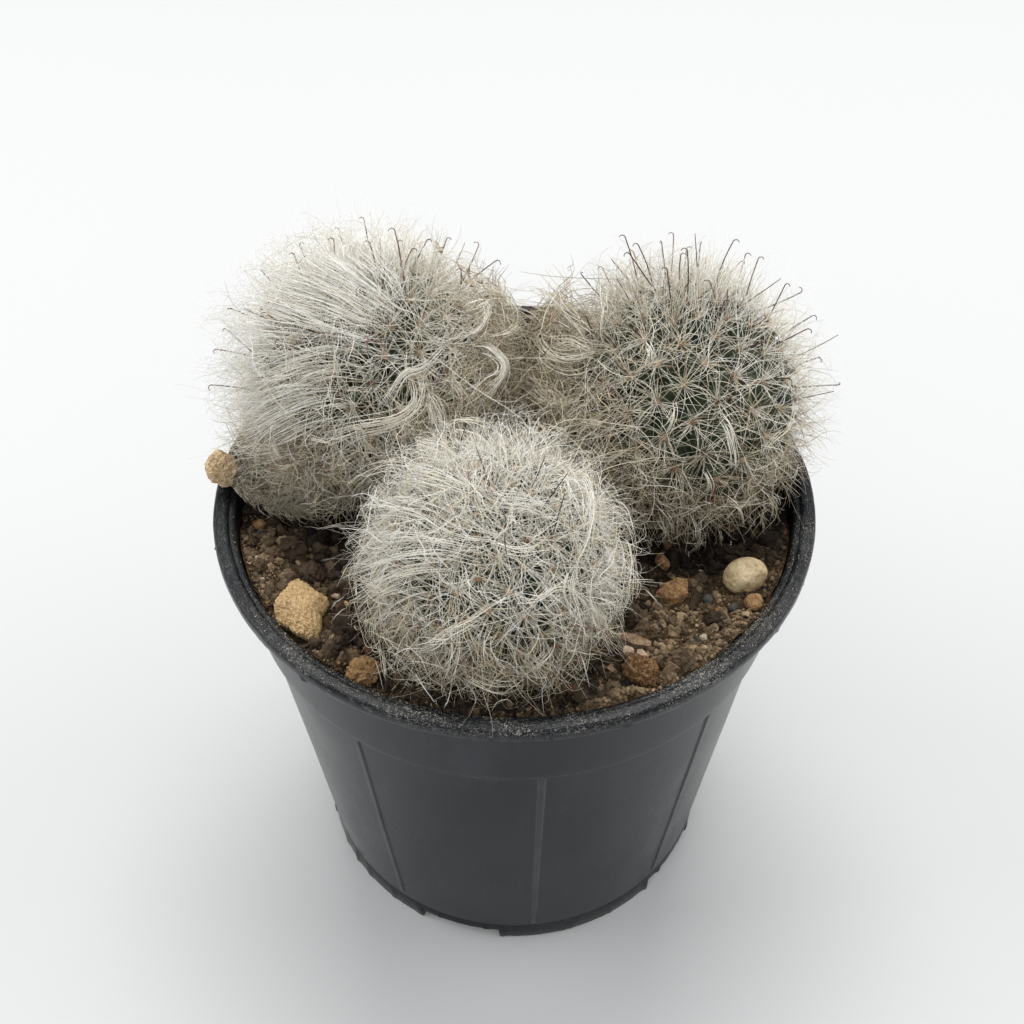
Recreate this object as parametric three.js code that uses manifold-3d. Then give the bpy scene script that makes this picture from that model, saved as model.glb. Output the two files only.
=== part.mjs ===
// Three woolly, hook-spined cactus globes growing in a round black nursery pot.
// Millimetres, +Z up. The origin is on the pot's axis, in the plane that its feet stand on.
// -Y is the front of the pot, +X its right side.
import * as THREE from 'three';
import { ConvexHull } from 'three/addons/math/ConvexHull.js';
import { mergeVertices } from 'three/addons/utils/BufferGeometryUtils.js';
import Module from 'manifold-3d';

const wasm = await Module();
wasm.setup();

// ---------------------------------------------------------------- driving dimensions
const POT_HEIGHT = 88.5;
const RIM_RADIUS = 52.5;         // outside of the lip
const LIP_HEIGHT = 2.7;
const LIP_FLAT = 2.3;            // width of the flat top of the lip
const COLLAR_TOP_RADIUS = 49.7;
const COLLAR_LOW_RADIUS = 47.9;
const COLLAR_LOW_Z = 69.2;       // lower edge of the smooth collar
const BODY_TOP_RADIUS = 46.9;
const BODY_LOW_RADIUS = 39.3;
const FOOT_RADIUS = 39.1;
const FOOT_HEIGHT = 4.5;         // the floor is raised this far above the feet
const WALL = 1.05;
const FLOOR_TOP = 5.6;
const POT_SEGMENTS = 56;

const RIB_COUNT = 9;             // moulded upright ribs on the body
const RIB_START_DEG = 5.5;       // from the front, towards the right
const RIB_WIDTH = 2.0;
const RIB_PROUD = 0.65;

const NOTCH_COUNT = 5;           // drain notches between the feet
const NOTCH_START_DEG = -16.1;
const NOTCH_WIDTH = 16.0;
const DRAIN_HOLE_RADIUS = 3.1;
const DRAIN_HOLE_CENTRE = 31.0;

const GAP = 0.35;                // clearance between pieces that touch
const SOIL_BASE_Z = 81.6;        // soil level round the plants
const SOIL_BANK = 2.7;           // how much higher it is banked against the front of the wall

const HEADS = {
  cactus_head_left:  { centre: [-24.9, 17.0, 99.5], radius: 20.3, tilt: [-0.16, 0.06], spin: 0.4, seed: 11, tubercles: 150 },
  cactus_head_right: { centre: [28.9, 11.0, 99.3], radius: 20.3, tilt: [0.08, 0.10], spin: 1.3, seed: 23, tubercles: 150 },
  cactus_head_front: { centre: [-3.2, -25.0, 96.2], radius: 17.8, tilt: [0.02, -0.12], spin: 2.2, seed: 37, tubercles: 168 },
};
const TUBERCLE_LOW_DEG = 138;    // they reach down to where the globe goes into the soil
const TUBERCLE_DEPTH = 3.4;
const HOOK_LENGTH = 7.2;
const HOOK_BEND = 0.75;
const HOOK_THICK = 0.55;
const HOOK_EVERY = 3;            // one areole in so many carries a long hooked central spine
const NECK_DEPTH = 9.5;          // woody root neck below the globe
const REACH_RIGHT = 55.6;        // how far the outermost spines reach past the pot's axis
const REACH_LEFT = 54.6;

// name: [x, y, width, depth, height, sunk share, yaw degrees, seed, detail, roughness, colour]
const STONES = {
  large_tan_stone:     [-35.0, -26.2, 8.2, 13.0, 5.4, 0.25, 24, 3, 2, 0.13, 0xcdb083],
  round_pebble:        [38.6, -19.1, 7.4, 6.6, 5.2, 0.12, 20, 5, 2, 0.04, 0xc9b897],
  brown_angular_stone: [26.4, -20.2, 5.2, 5.2, 3.8, 0.20, -20, 8, 1, 0.15, 0x8f6238],
  small_brown_stone:   [25.5, -12.3, 2.2, 3.6, 2.4, 0.20, 15, 9, 1, 0.10, 0x8a6742],
  orange_pebble:       [39.6, -23.9, 3.3, 3.0, 2.6, 0.20, 0, 12, 1, 0.10, 0xa8743f],
  rusty_clod:          [20.1, -38.3, 5.6, 5.6, 4.6, 0.25, 10, 14, 2, 0.14, 0x7d4e2a],
  bark_chip:           [19.4, -30.8, 6.2, 2.8, 1.7, 0.15, -24, 17, 1, 0.10, 0x8b6350],
  orange_clod:         [-23.8, -38.7, 4.8, 4.6, 4.6, 0.25, 0, 19, 2, 0.15, 0xa9702f],
  dark_clod:           [-34.4, -16.3, 4.6, 5.2, 4.0, 0.30, 30, 21, 2, 0.14, 0x4a392c],
  dark_crumb:          [-30.2, -19.4, 2.6, 2.5, 2.6, 0.30, 0, 25, 1, 0.12, 0x4f3c2d],
  brown_crumb:         [-29.2, -24.2, 2.6, 2.3, 2.3, 0.30, 40, 27, 1, 0.12, 0x6b4c33],
  shaded_stone:        [-45.2, -3.9, 3.0, 2.7, 2.6, 0.20, 0, 29, 1, 0.12, 0x6a4c36],
  dark_grey_grain:     [36.2, -24.6, 2.0, 1.6, 1.6, 0.25, 30, 31, 1, 0.08, 0x4d5254],
  blue_grey_grain:     [32.2, -22.4, 1.8, 2.4, 1.7, 0.25, -10, 33, 1, 0.08, 0x4b5559],
  white_grain:         [30.7, -31.2, 1.6, 1.6, 1.5, 0.25, 0, 35, 1, 0.06, 0xd8d2c4],
};
const RIM_STONE = { x: -51.0, y: 0.8, size: [6.0, 5.6, 6.2], seed: 41, colour: 0xc49f6d };

// ---------------------------------------------------------------- helpers
function rng(seed) {
  let a = seed * 2654435761 >>> 0;
  return () => {
    a = (a + 0x6d2b79f5) >>> 0;
    let t = a;
    t = Math.imul(t ^ (t >>> 15), t | 1);
    t ^= t + Math.imul(t ^ (t >>> 7), t | 61);
    return ((t ^ (t >>> 14)) >>> 0) / 4294967296;
  };
}
const smooth = (a, b, x) => { const t = Math.min(1, Math.max(0, (x - a) / (b - a))); return t * t * (3 - 2 * t); };
const rad = (deg) => deg * Math.PI / 180;

function bare(geometry) {
  const g = geometry.index ? geometry.toNonIndexed() : geometry.clone();
  for (const name of Object.keys(g.attributes)) if (name !== 'position') g.deleteAttribute(name);
  return mergeVertices(g, 1e-5);
}
function volumeOf(g) {
  const p = g.attributes.position, ix = g.index;
  const a = new THREE.Vector3(), b = new THREE.Vector3(), c = new THREE.Vector3();
  let v = 0;
  for (let i = 0; i < ix.count; i += 3) {
    a.fromBufferAttribute(p, ix.getX(i)); b.fromBufferAttribute(p, ix.getX(i + 1)); c.fromBufferAttribute(p, ix.getX(i + 2));
    v += a.dot(b.cross(c)) / 6;
  }
  return v;
}
function solidOf(geometry) {
  const g = bare(geometry);
  if (volumeOf(g) < 0) {
    const ix = g.index.array;
    for (let i = 0; i < ix.length; i += 3) { const t = ix[i]; ix[i] = ix[i + 1]; ix[i + 1] = t; }
  }
  return new wasm.Manifold(new wasm.Mesh({
    numProp: 3,
    vertProperties: new Float32Array(g.attributes.position.array),
    triVerts: new Uint32Array(g.index.array),
  }));
}
function geometryOf(solid) {
  const m = solid.getMesh();
  const g = new THREE.BufferGeometry();
  const n = m.vertProperties.length / m.numProp;
  const pos = new Float32Array(n * 3);
  for (let i = 0; i < n; i++) for (let k = 0; k < 3; k++) pos[3 * i + k] = m.vertProperties[i * m.numProp + k];
  g.setAttribute('position', new THREE.BufferAttribute(pos, 3));
  g.setIndex(new THREE.BufferAttribute(new Uint32Array(m.triVerts), 1));
  return g;
}
// the profile is [radius, height] pairs, turned about Z
function turned(profile, segments) {
  const g = new THREE.LatheGeometry(profile.map(([r, z]) => new THREE.Vector2(r, z)), segments);
  g.rotateX(Math.PI / 2);
  return g;
}
function fromTriangles(points, faces) {
  const g = new THREE.BufferGeometry();
  g.setAttribute('position', new THREE.BufferAttribute(new Float32Array(points.flatMap((p) => [p.x, p.y, p.z])), 3));
  g.setIndex(faces.flat());
  return g;
}

const group = new THREE.Group();
function add(name, geometry, colour, roughness) {
  const g = geometry.clone();
  g.computeVertexNormals();
  const mesh = new THREE.Mesh(g, new THREE.MeshStandardMaterial({ color: colour, roughness, metalness: 0, flatShading: true }));
  mesh.name = name;
  group.add(mesh);
  return mesh;
}

// ---------------------------------------------------------------- the pot
// One thin-walled plastic moulding: feet, raised floor, tapered body with upright ribs,
// a smooth collar that stands a little proud of the body, and a flat lip with an inner ledge.
const INNER_TOP = [COLLAR_TOP_RADIUS - 0.95, POT_HEIGHT - 1.4];
const INNER_STEP = [COLLAR_LOW_RADIUS - WALL, COLLAR_LOW_Z + 0.4];
const INNER_BODY = [BODY_TOP_RADIUS - WALL, COLLAR_LOW_Z - 1.6];
const INNER_LOW = [BODY_LOW_RADIUS - WALL + 0.1, FLOOR_TOP + 1.2];
function innerRadius(z) {
  const pts = [INNER_TOP, INNER_STEP, INNER_BODY, INNER_LOW];
  if (z >= pts[0][1]) return pts[0][0];
  for (let i = 0; i < pts.length - 1; i++) {
    const [r1, z1] = pts[i], [r0, z0] = pts[i + 1];
    if (z >= z0) return r0 + (r1 - r0) * (z - z0) / (z1 - z0);
  }
  return INNER_LOW[0];
}
const lipLow = POT_HEIGHT - LIP_HEIGHT;
let pot = solidOf(turned([
  [0, FLOOR_TOP], [INNER_LOW[0] - 1.4, FLOOR_TOP], INNER_LOW, INNER_BODY, INNER_STEP, INNER_TOP,
  [INNER_TOP[0] + 0.2, POT_HEIGHT - 1.0],
  [RIM_RADIUS - LIP_FLAT - 0.35, POT_HEIGHT - 0.9],
  [RIM_RADIUS - LIP_FLAT, POT_HEIGHT],
  [RIM_RADIUS - 0.4, POT_HEIGHT], [RIM_RADIUS, POT_HEIGHT - 0.5],
  [RIM_RADIUS, lipLow + 0.4], [RIM_RADIUS - 0.5, lipLow],
  [COLLAR_TOP_RADIUS, lipLow],
  [COLLAR_LOW_RADIUS, COLLAR_LOW_Z], [COLLAR_LOW_RADIUS - 0.3, COLLAR_LOW_Z - 0.35],
  [BODY_TOP_RADIUS, COLLAR_LOW_Z - 0.4],
  [BODY_LOW_RADIUS, FOOT_HEIGHT + 0.15],
  [BODY_LOW_RADIUS + 0.25, FOOT_HEIGHT - 0.1],
  [FOOT_RADIUS, 0], [FOOT_RADIUS - 1.7, 0],
  [FOOT_RADIUS - 1.6, FOOT_HEIGHT], [0, FOOT_HEIGHT],
], POT_SEGMENTS));

const ribs = [];
for (let i = 0; i < RIB_COUNT; i++) {
  const az = rad(RIB_START_DEG + i * 360 / RIB_COUNT);
  const z0 = FOOT_HEIGHT + 0.5, z1 = COLLAR_LOW_Z - 1.0;
  const section = (z, radius) => [
    [-RIB_WIDTH / 2, radius - 0.3, z], [-RIB_WIDTH * 0.14, radius + RIB_PROUD, z],
    [RIB_WIDTH * 0.14, radius + RIB_PROUD, z], [RIB_WIDTH / 2, radius - 0.3, z],
  ];
  const at = (z) => BODY_LOW_RADIUS + (BODY_TOP_RADIUS - BODY_LOW_RADIUS) * (z - FOOT_HEIGHT) / (COLLAR_LOW_Z - FOOT_HEIGHT);
  const raw = [...section(z0, at(z0)), ...section(z1, at(z1))];
  const pts = raw.map(([s, r, z]) => new THREE.Vector3(
    r * Math.sin(az) + s * Math.cos(az), -r * Math.cos(az) + s * Math.sin(az), z));
  ribs.push(solidOf(fromTriangles(pts, [
    [0, 1, 2], [0, 2, 3], [4, 6, 5], [4, 7, 6],
    [0, 5, 1], [0, 4, 5], [1, 6, 2], [1, 5, 6], [2, 7, 3], [2, 6, 7], [3, 4, 0], [3, 7, 4],
  ])));
}
for (const r of ribs) pot = pot.add(r);

for (let i = 0; i < NOTCH_COUNT; i++) {
  const az = rad(NOTCH_START_DEG + i * 360 / NOTCH_COUNT);
  const notch = new THREE.BoxGeometry(NOTCH_WIDTH, 8, FOOT_HEIGHT + 2);
  notch.translate(0, -(FOOT_RADIUS - 0.2), FOOT_HEIGHT / 2 - 1.0);
  notch.rotateZ(az);
  pot = pot.subtract(solidOf(notch));
  const hole = new THREE.CylinderGeometry(DRAIN_HOLE_RADIUS, DRAIN_HOLE_RADIUS, 6, 12);
  hole.rotateX(Math.PI / 2);
  hole.translate(0, -DRAIN_HOLE_CENTRE, FOOT_HEIGHT + 0.5);
  hole.rotateZ(az);
  pot = pot.subtract(solidOf(hole));
}
add('pot', geometryOf(pot), 0x2b2e31, 0.45);

// ---------------------------------------------------------------- the three globes
// Each is one living body: rounded tubercles in a sunflower spiral over a core, with an
// areole on each tip, long hooked central spines, and a woody neck that roots it in the soil.
function headFrame(spec) {
  const axis = new THREE.Vector3(spec.tilt[0], spec.tilt[1], 1).normalize();
  const q = new THREE.Quaternion().setFromUnitVectors(new THREE.Vector3(0, 0, 1), axis);
  return new THREE.Matrix4().compose(new THREE.Vector3(...spec.centre), q, new THREE.Vector3(1, 1, 1));
}
function areoleDirections(spec) {
  const dirs = [];
  const umax = (1 - Math.cos(rad(TUBERCLE_LOW_DEG))) / 2;
  for (let i = 0; i < spec.tubercles; i++) {
    const u = umax * Math.pow((i + 0.35) / spec.tubercles, 1.18);
    const ct = 1 - 2 * u, st = Math.sqrt(Math.max(0, 1 - ct * ct));
    const az = i * rad(137.50776) + spec.spin;
    dirs.push(new THREE.Vector3(st * Math.cos(az), st * Math.sin(az), ct));
  }
  return dirs;
}
function clearOfNeighbours(name, p) {
  for (const [other, o] of Object.entries(HEADS)) {
    if (other !== name && p.distanceTo(new THREE.Vector3(...o.centre)) < o.radius + 9.5) return false;
  }
  if (p.distanceTo(new THREE.Vector3(RIM_STONE.x, RIM_STONE.y, 92)) < 8) return false;
  return p.z > 95 && p.x < REACH_RIGHT && p.x > -REACH_LEFT;
}
function headGeometry(name, spec) {
  const R = spec.radius, random = rng(spec.seed);
  const dirs = areoleDirections(spec);
  const nTips = dirs.length;
  const place = dirs.map((d) => d.clone().multiplyScalar(R + (random() - 0.5) * 0.4));
  const ring = (deg, n, radius, z) => {
    for (let i = 0; i < n; i++) {
      const az = (i + 0.5 * (deg % 2)) * 2 * Math.PI / n;
      dirs.push(new THREE.Vector3(Math.sin(rad(deg)) * Math.cos(az), Math.sin(rad(deg)) * Math.sin(az), Math.cos(rad(deg))));
      place.push(new THREE.Vector3(radius * Math.cos(az), radius * Math.sin(az), z));
    }
  };
  ring(151, 9, 8.0, -0.86 * R);
  ring(165, 7, 4.8, -R - 2.5);
  dirs.push(new THREE.Vector3(0, 0, -1));
  place.push(new THREE.Vector3(0, 0, -R - NECK_DEPTH));
  const hull = new ConvexHull().setFromPoints(dirs);
  const index = new Map(dirs.map((d, i) => [d, i]));
  const points = place.slice(), faces = [];
  const mids = new Map();
  const valley = R - TUBERCLE_DEPTH, saddle = R - TUBERCLE_DEPTH * 0.68;
  const mid = (a, b) => {
    const key = a < b ? a * 1000 + b : b * 1000 + a;
    if (!mids.has(key)) {
      const p = a < nTips && b < nTips
        ? dirs[a].clone().add(dirs[b]).normalize().multiplyScalar(saddle)
        : place[a].clone().add(place[b]).multiplyScalar(0.5);
      mids.set(key, points.push(p) - 1);
    }
    return mids.get(key);
  };
  for (const face of hull.faces) {
    const t = [];
    let e = face.edge;
    do { t.push(index.get(e.head().point)); e = e.next; } while (e !== face.edge);
    const [a, b, c] = t;
    if (Math.min(a, b, c) >= nTips) { faces.push([a, mid(a, b), mid(c, a)], [mid(a, b), b, mid(b, c)], [mid(b, c), c, mid(c, a)], [mid(a, b), mid(b, c), mid(c, a)]); continue; }
    const all = Math.max(a, b, c) < nTips;
    const centre = all
      ? dirs[a].clone().add(dirs[b]).add(dirs[c]).normalize().multiplyScalar(valley)
      : place[a].clone().add(place[b]).add(place[c]).multiplyScalar(1 / 3);
    const o = points.push(centre) - 1;
    for (const [p, q] of [[a, b], [b, c], [c, a]]) { const m = mid(p, q); faces.push([p, m, o], [m, q, o]); }
  }
  let head = solidOf(fromTriangles(points, faces));

  const frame = headFrame(spec);
  for (let i = 4; i < nTips; i++) {
    if (i % HOOK_EVERY !== 0) continue;
    const d = dirs[i];
    if (d.z < -0.05) continue;
    // a spine leans a little away from the crown, and bends back on itself at the tip
    const side = new THREE.Vector3(-d.y, d.x, 0).normalize();
    const lean = new THREE.Vector3().crossVectors(side, d).normalize().multiplyScalar((random() - 0.5) * 0.3);
    const out = d.clone().add(lean).addScaledVector(side, (random() - 0.5) * 0.3).normalize();
    const turn = rad(random() * 360);
    const across = side.clone().applyAxisAngle(out, turn);
    const long = HOOK_LENGTH * (0.85 + 0.3 * random());
    const root = d.clone().multiplyScalar(R - 1.2);
    const path = [[0, 0], [long + 1.2 - HOOK_BEND, 0], [long + 1.2 - HOOK_BEND * 0.1, HOOK_BEND * 0.75], [long + 1.2 - HOOK_BEND * 0.6, HOOK_BEND * 1.7]]
      .map(([u, v]) => root.clone().addScaledVector(out, u).addScaledVector(across, v));
    if (!path.every((p) => { const w = p.clone().applyMatrix4(frame); return p === path[0] || clearOfNeighbours(name, w); })) continue;
    const normal = new THREE.Vector3().crossVectors(out, across).normalize();
    const widths = [1.25, 0.9, 0.75, 0.45].map((k) => k * HOOK_THICK / 2);
    const pts = [], tri = [];
    path.forEach((p, k) => {
      const ahead = path[Math.min(k + 1, path.length - 1)].clone().sub(path[Math.max(k - 1, 0)]).normalize();
      const u = normal, v = new THREE.Vector3().crossVectors(ahead, normal).normalize();
      for (let s = 0; s < 3; s++) {
        const a = s * 2 * Math.PI / 3;
        pts.push(p.clone().addScaledVector(u, widths[k] * Math.cos(a)).addScaledVector(v, widths[k] * Math.sin(a)));
      }
      if (k) for (let s = 0; s < 3; s++) {
        const s1 = (s + 1) % 3, b0 = 3 * (k - 1), b1 = 3 * k;
        tri.push([b0 + s, b0 + s1, b1 + s1], [b0 + s, b1 + s1, b1 + s]);
      }
    });
    const e = 3 * (path.length - 1);
    tri.push([0, 2, 1], [e, e + 1, e + 2]);
    head = head.add(solidOf(fromTriangles(pts, tri)));
  }
  const g = geometryOf(head);
  g.applyMatrix4(frame);
  return g;
}
for (const [name, spec] of Object.entries(HEADS)) add(name, headGeometry(name, spec), 0x6f7a5c, 0.85);

// ---------------------------------------------------------------- loose stones and clods
function soilLevel(x, y) {
  const edge = smooth(26, 46, Math.hypot(x, y));
  const front = smooth(2, -20, y);
  return SOIL_BASE_Z + SOIL_BANK * edge * front;
}
function stoneGeometry(size, seed, detail, rough, yaw, centre, grow = 0) {
  const random = rng(seed);
  const g = bare(new THREE.IcosahedronGeometry(0.5, detail));
  const p = g.attributes.position;
  const lumps = Array.from({ length: 9 }, () => ({
    d: new THREE.Vector3(random() - 0.5, random() - 0.5, random() - 0.5).normalize(),
    k: (random() - 0.55) * 2 * rough,
  }));
  const v = new THREE.Vector3();
  for (let i = 0; i < p.count; i++) {
    v.fromBufferAttribute(p, i).normalize();
    let r = 0.5;
    for (const l of lumps) r += 0.5 * l.k * Math.pow(Math.max(0, v.dot(l.d)), 3);
    p.setXYZ(i, v.x * r * (size[0] + 2 * grow), v.y * r * (size[1] + 2 * grow), v.z * r * (size[2] + 2 * grow));
  }
  g.rotateZ(rad(yaw));
  g.translate(...centre);
  return g;
}
const sockets = [];
for (const [name, [x, y, w, d, h, sunk, yaw, seed, detail, rough, colour]] of Object.entries(STONES)) {
  const centre = [x, y, soilLevel(x, y) + h * (0.5 - sunk)];
  add(name, stoneGeometry([w, d, h], seed, detail, rough, yaw, centre), colour, 0.9);
  sockets.push(solidOf(stoneGeometry([w, d, h], seed, 1, rough, yaw, centre, GAP + (detail > 1 ? 0.3 : 0.1))));
}
// a small stone that lodges on the lip of the pot against the left globe's wool
{
  const g = stoneGeometry(RIM_STONE.size, RIM_STONE.seed, 2, 0.08, 0, [0, 0, 0]);
  g.computeBoundingBox();
  g.translate(RIM_STONE.x, RIM_STONE.y, POT_HEIGHT + 0.3 - g.boundingBox.min.z);
  add('rim_stone', g, RIM_STONE.colour, 0.9);
}

// ---------------------------------------------------------------- the soil
// Fills the pot from its floor, a little below the lip, with a hollow for each globe's
// base and neck, and a socket under each loose stone.
{
  const RINGS = 8, SEG = 36, random = rng(77);
  const waves = Array.from({ length: 7 }, () => [0.12 + 0.22 * random(), random() * 6.28, random() * 6.28]);
  const bumps = (x, y) => waves.reduce((s, [f, a, ph]) => s + Math.sin(f * (x * Math.cos(a) + y * Math.sin(a)) + ph), 0) * 0.12;
  const edgeR = innerRadius(82) - GAP;
  const pts = [new THREE.Vector3(0, 0, soilLevel(0, 0) + bumps(0, 0))], tri = [];
  for (let k = 1; k <= RINGS; k++) for (let s = 0; s < SEG; s++) {
    const a = s * 2 * Math.PI / SEG, r = edgeR * Math.pow(k / RINGS, 0.9);
    const x = r * Math.cos(a), y = r * Math.sin(a);
    pts.push(new THREE.Vector3(x, y, soilLevel(x, y) + bumps(x, y)));
  }
  const levels = [INNER_STEP[1], INNER_BODY[1], INNER_LOW[1], FLOOR_TOP + 0.3];
  const radii = [innerRadius(levels[0]) - GAP, innerRadius(levels[1]) - GAP, innerRadius(levels[2]) - GAP, INNER_LOW[0] - 1.9];
  levels.forEach((z, k) => {
    for (let s = 0; s < SEG; s++) { const a = s * 2 * Math.PI / SEG; pts.push(new THREE.Vector3(radii[k] * Math.cos(a), radii[k] * Math.sin(a), z)); }
  });
  pts.push(new THREE.Vector3(0, 0, FLOOR_TOP + 0.3));
  const id = (k, s) => 1 + (k - 1) * SEG + (s % SEG);
  for (let s = 0; s < SEG; s++) tri.push([0, id(1, s), id(1, s + 1)]);
  for (let k = 1; k < RINGS + levels.length; k++) for (let s = 0; s < SEG; s++) {
    tri.push([id(k, s), id(k + 1, s), id(k + 1, s + 1)], [id(k, s), id(k + 1, s + 1), id(k, s + 1)]);
  }
  const last = RINGS + levels.length;
  for (let s = 0; s < SEG; s++) tri.push([id(last, s), pts.length - 1, id(last, s + 1)]);
  let soil = solidOf(fromTriangles(pts, tri));
  for (const spec of Object.values(HEADS)) {
    const R = spec.radius + 0.2 + GAP;
    const profile = [[0, -R * 0.42], [R * 0.97, -R * 0.42]];
    for (let deg = 120; deg <= 150; deg += 10) profile.push([R * Math.sin(rad(deg)), R * Math.cos(rad(deg))]);
    profile.push([8.6, -0.9 * spec.radius - 1.2], [5.6, -spec.radius - 3.0], [3.4, -spec.radius - 6.5], [1.6, -spec.radius - NECK_DEPTH - 0.5], [0, -spec.radius - NECK_DEPTH - 0.5]);
    const hollow = turned(profile, 18);
    hollow.applyMatrix4(headFrame(spec));
    soil = soil.subtract(solidOf(hollow));
  }
  for (const s of sockets) soil = soil.subtract(s);
  add('potting_soil', geometryOf(soil), 0x3b2c20, 1.0);
}

export default group;
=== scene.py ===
# A potted old man cactus: three woolly, hook-spined globes in a round black nursery pot.
# Lengths in this file are millimetres in the row frame; meshes are scaled to metres when they are made.
import math

import bmesh
import bpy
import numpy as np
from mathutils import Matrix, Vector


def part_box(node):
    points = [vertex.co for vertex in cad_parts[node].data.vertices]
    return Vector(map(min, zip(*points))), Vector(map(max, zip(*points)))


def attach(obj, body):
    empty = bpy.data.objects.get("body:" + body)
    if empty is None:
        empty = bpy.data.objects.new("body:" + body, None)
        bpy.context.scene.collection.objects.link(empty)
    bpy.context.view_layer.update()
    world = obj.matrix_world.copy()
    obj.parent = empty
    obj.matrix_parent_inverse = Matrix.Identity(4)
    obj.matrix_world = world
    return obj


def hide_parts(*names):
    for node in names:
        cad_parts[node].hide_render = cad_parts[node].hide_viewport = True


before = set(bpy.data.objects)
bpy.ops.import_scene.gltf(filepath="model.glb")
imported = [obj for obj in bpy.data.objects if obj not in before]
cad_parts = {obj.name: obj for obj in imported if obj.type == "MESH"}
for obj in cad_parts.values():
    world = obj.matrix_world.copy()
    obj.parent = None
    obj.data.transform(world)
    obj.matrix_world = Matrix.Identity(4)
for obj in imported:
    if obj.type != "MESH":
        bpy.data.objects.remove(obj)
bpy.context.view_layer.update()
MM = 0.001
scene = bpy.context.scene

# ------------------------------------------------------------------ camera, floor, light
CAM = np.array([-0.43, -175.19, 261.33])
ELEV = math.radians(45.65)
FOCAL = 1400.0                      # in pixels of a 1024 pixel frame
FWD = np.array([0.0, math.cos(ELEV), -math.sin(ELEV)])
RIGHT = np.array([1.0, 0.0, 0.0])
UP = np.cross(RIGHT, FWD)

cam_data = bpy.data.cameras.new("camera")
cam_data.sensor_fit = "HORIZONTAL"
cam_data.sensor_width = 36.0
cam_data.lens = FOCAL / 1024 * 36.0
cam_data.clip_start = 0.01
cam_data.clip_end = 20.0
camera = bpy.data.objects.new("camera", cam_data)
camera.location = Vector(CAM * MM)
camera.rotation_euler = (math.pi / 2 - ELEV, 0.0, 0.0)
scene.collection.objects.link(camera)
scene.camera = camera

scene.view_settings.view_transform = "Standard"
scene.view_settings.look = "None"
scene.view_settings.exposure = 0.0
scene.view_settings.gamma = 1.0

world = bpy.data.worlds.new("studio")
world.use_nodes = True
scene.world = world
wnt = world.node_tree
wnt.nodes["Background"].inputs["Color"].default_value = (0.98, 0.99, 1.0, 1)
wnt.nodes["Background"].inputs["Strength"].default_value = 0.57


def area_light(name, place, aim, size, power, colour=(1, 1, 1)):
    data = bpy.data.lights.new(name, "AREA")
    data.shape = "RECTANGLE"
    data.size, data.size_y = size
    data.energy = power
    data.color = colour
    ob = bpy.data.objects.new(name, data)
    ob.location = place
    ob.rotation_euler = (Vector(aim) - Vector(place)).to_track_quat("-Z", "Y").to_euler()
    scene.collection.objects.link(ob)
    return ob


area_light("overhead", (0.0, 0.50, 1.25), (0, 0, 0.05), (0.8, 0.6), 12.2, (1.0, 0.99, 0.97))
area_light("front_fill", (-0.12, -0.75, 1.0), (0, 0, 0.08), (0.8, 0.5), 1.9, (1.0, 1.0, 1.0))
area_light("left_fill", (-0.75, 0.05, 0.58), (0, 0, 0.08), (0.6, 0.6), 2.9)
area_light("right_fill", (0.75, 0.10, 0.50), (0, 0, 0.08), (0.6, 0.6), 2.4)


# ------------------------------------------------------------------ small numeric tools
def unit(v):
    v = np.asarray(v, float)
    return v / np.maximum(np.linalg.norm(v, axis=-1, keepdims=True), 1e-9)


def step(a, b, x):
    t = np.clip((x - a) / (b - a), 0, 1)
    return t * t * (3 - 2 * t)


class Perlin:
    """Gradient noise in three dimensions, about -0.7 to 0.7."""

    def __init__(self, seed):
        r = np.random.default_rng(seed)
        self.p = np.tile(r.permutation(256), 3)
        self.g = unit(r.normal(size=(256, 3)))

    def __call__(self, P):
        P = np.asarray(P, float)
        i = np.floor(P).astype(np.int64)
        f = P - i
        i &= 255
        w = f * f * f * (f * (f * 6 - 15) + 10)
        out = np.zeros(P.shape[:-1])
        for dx in (0, 1):
            for dy in (0, 1):
                for dz in (0, 1):
                    h = self.p[(i[..., 0] + dx) & 255]
                    h = self.p[h + ((i[..., 1] + dy) & 255)]
                    h = self.p[h + ((i[..., 2] + dz) & 255)]
                    g = self.g[h & 255]
                    d = f - np.array([dx, dy, dz])
                    n = (g * d).sum(-1)
                    k = (w[..., 0] if dx else 1 - w[..., 0]) * (w[..., 1] if dy else 1 - w[..., 1]) * (w[..., 2] if dz else 1 - w[..., 2])
                    out += n * k
        return out

    def fbm(self, P, octaves=4, gain=0.5):
        out, a, s = 0.0, 1.0, 1.0
        for k in range(octaves):
            out = out + a * self(np.asarray(P) * s + 17.3 * k)
            a *= gain
            s *= 2.03
        return out

    def vec(self, P):
        return np.stack([self(P), self(np.asarray(P) + 41.7), self(np.asarray(P) + 93.1)], -1)


def hash01(ix, iy, seed, k):
    h = (ix.astype(np.int64) * 73856093) ^ (iy.astype(np.int64) * 19349663) ^ np.int64(seed * 83492791 + k * 2971215073)
    h &= 0xFFFFFFFF
    for _ in range(2):
        h = ((h >> 16) ^ h) * 0x45D9F3B & 0xFFFFFFFF
    h = (h >> 16) ^ h
    return (h & 0xFFFFFF) / float(0x1000000)


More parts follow.
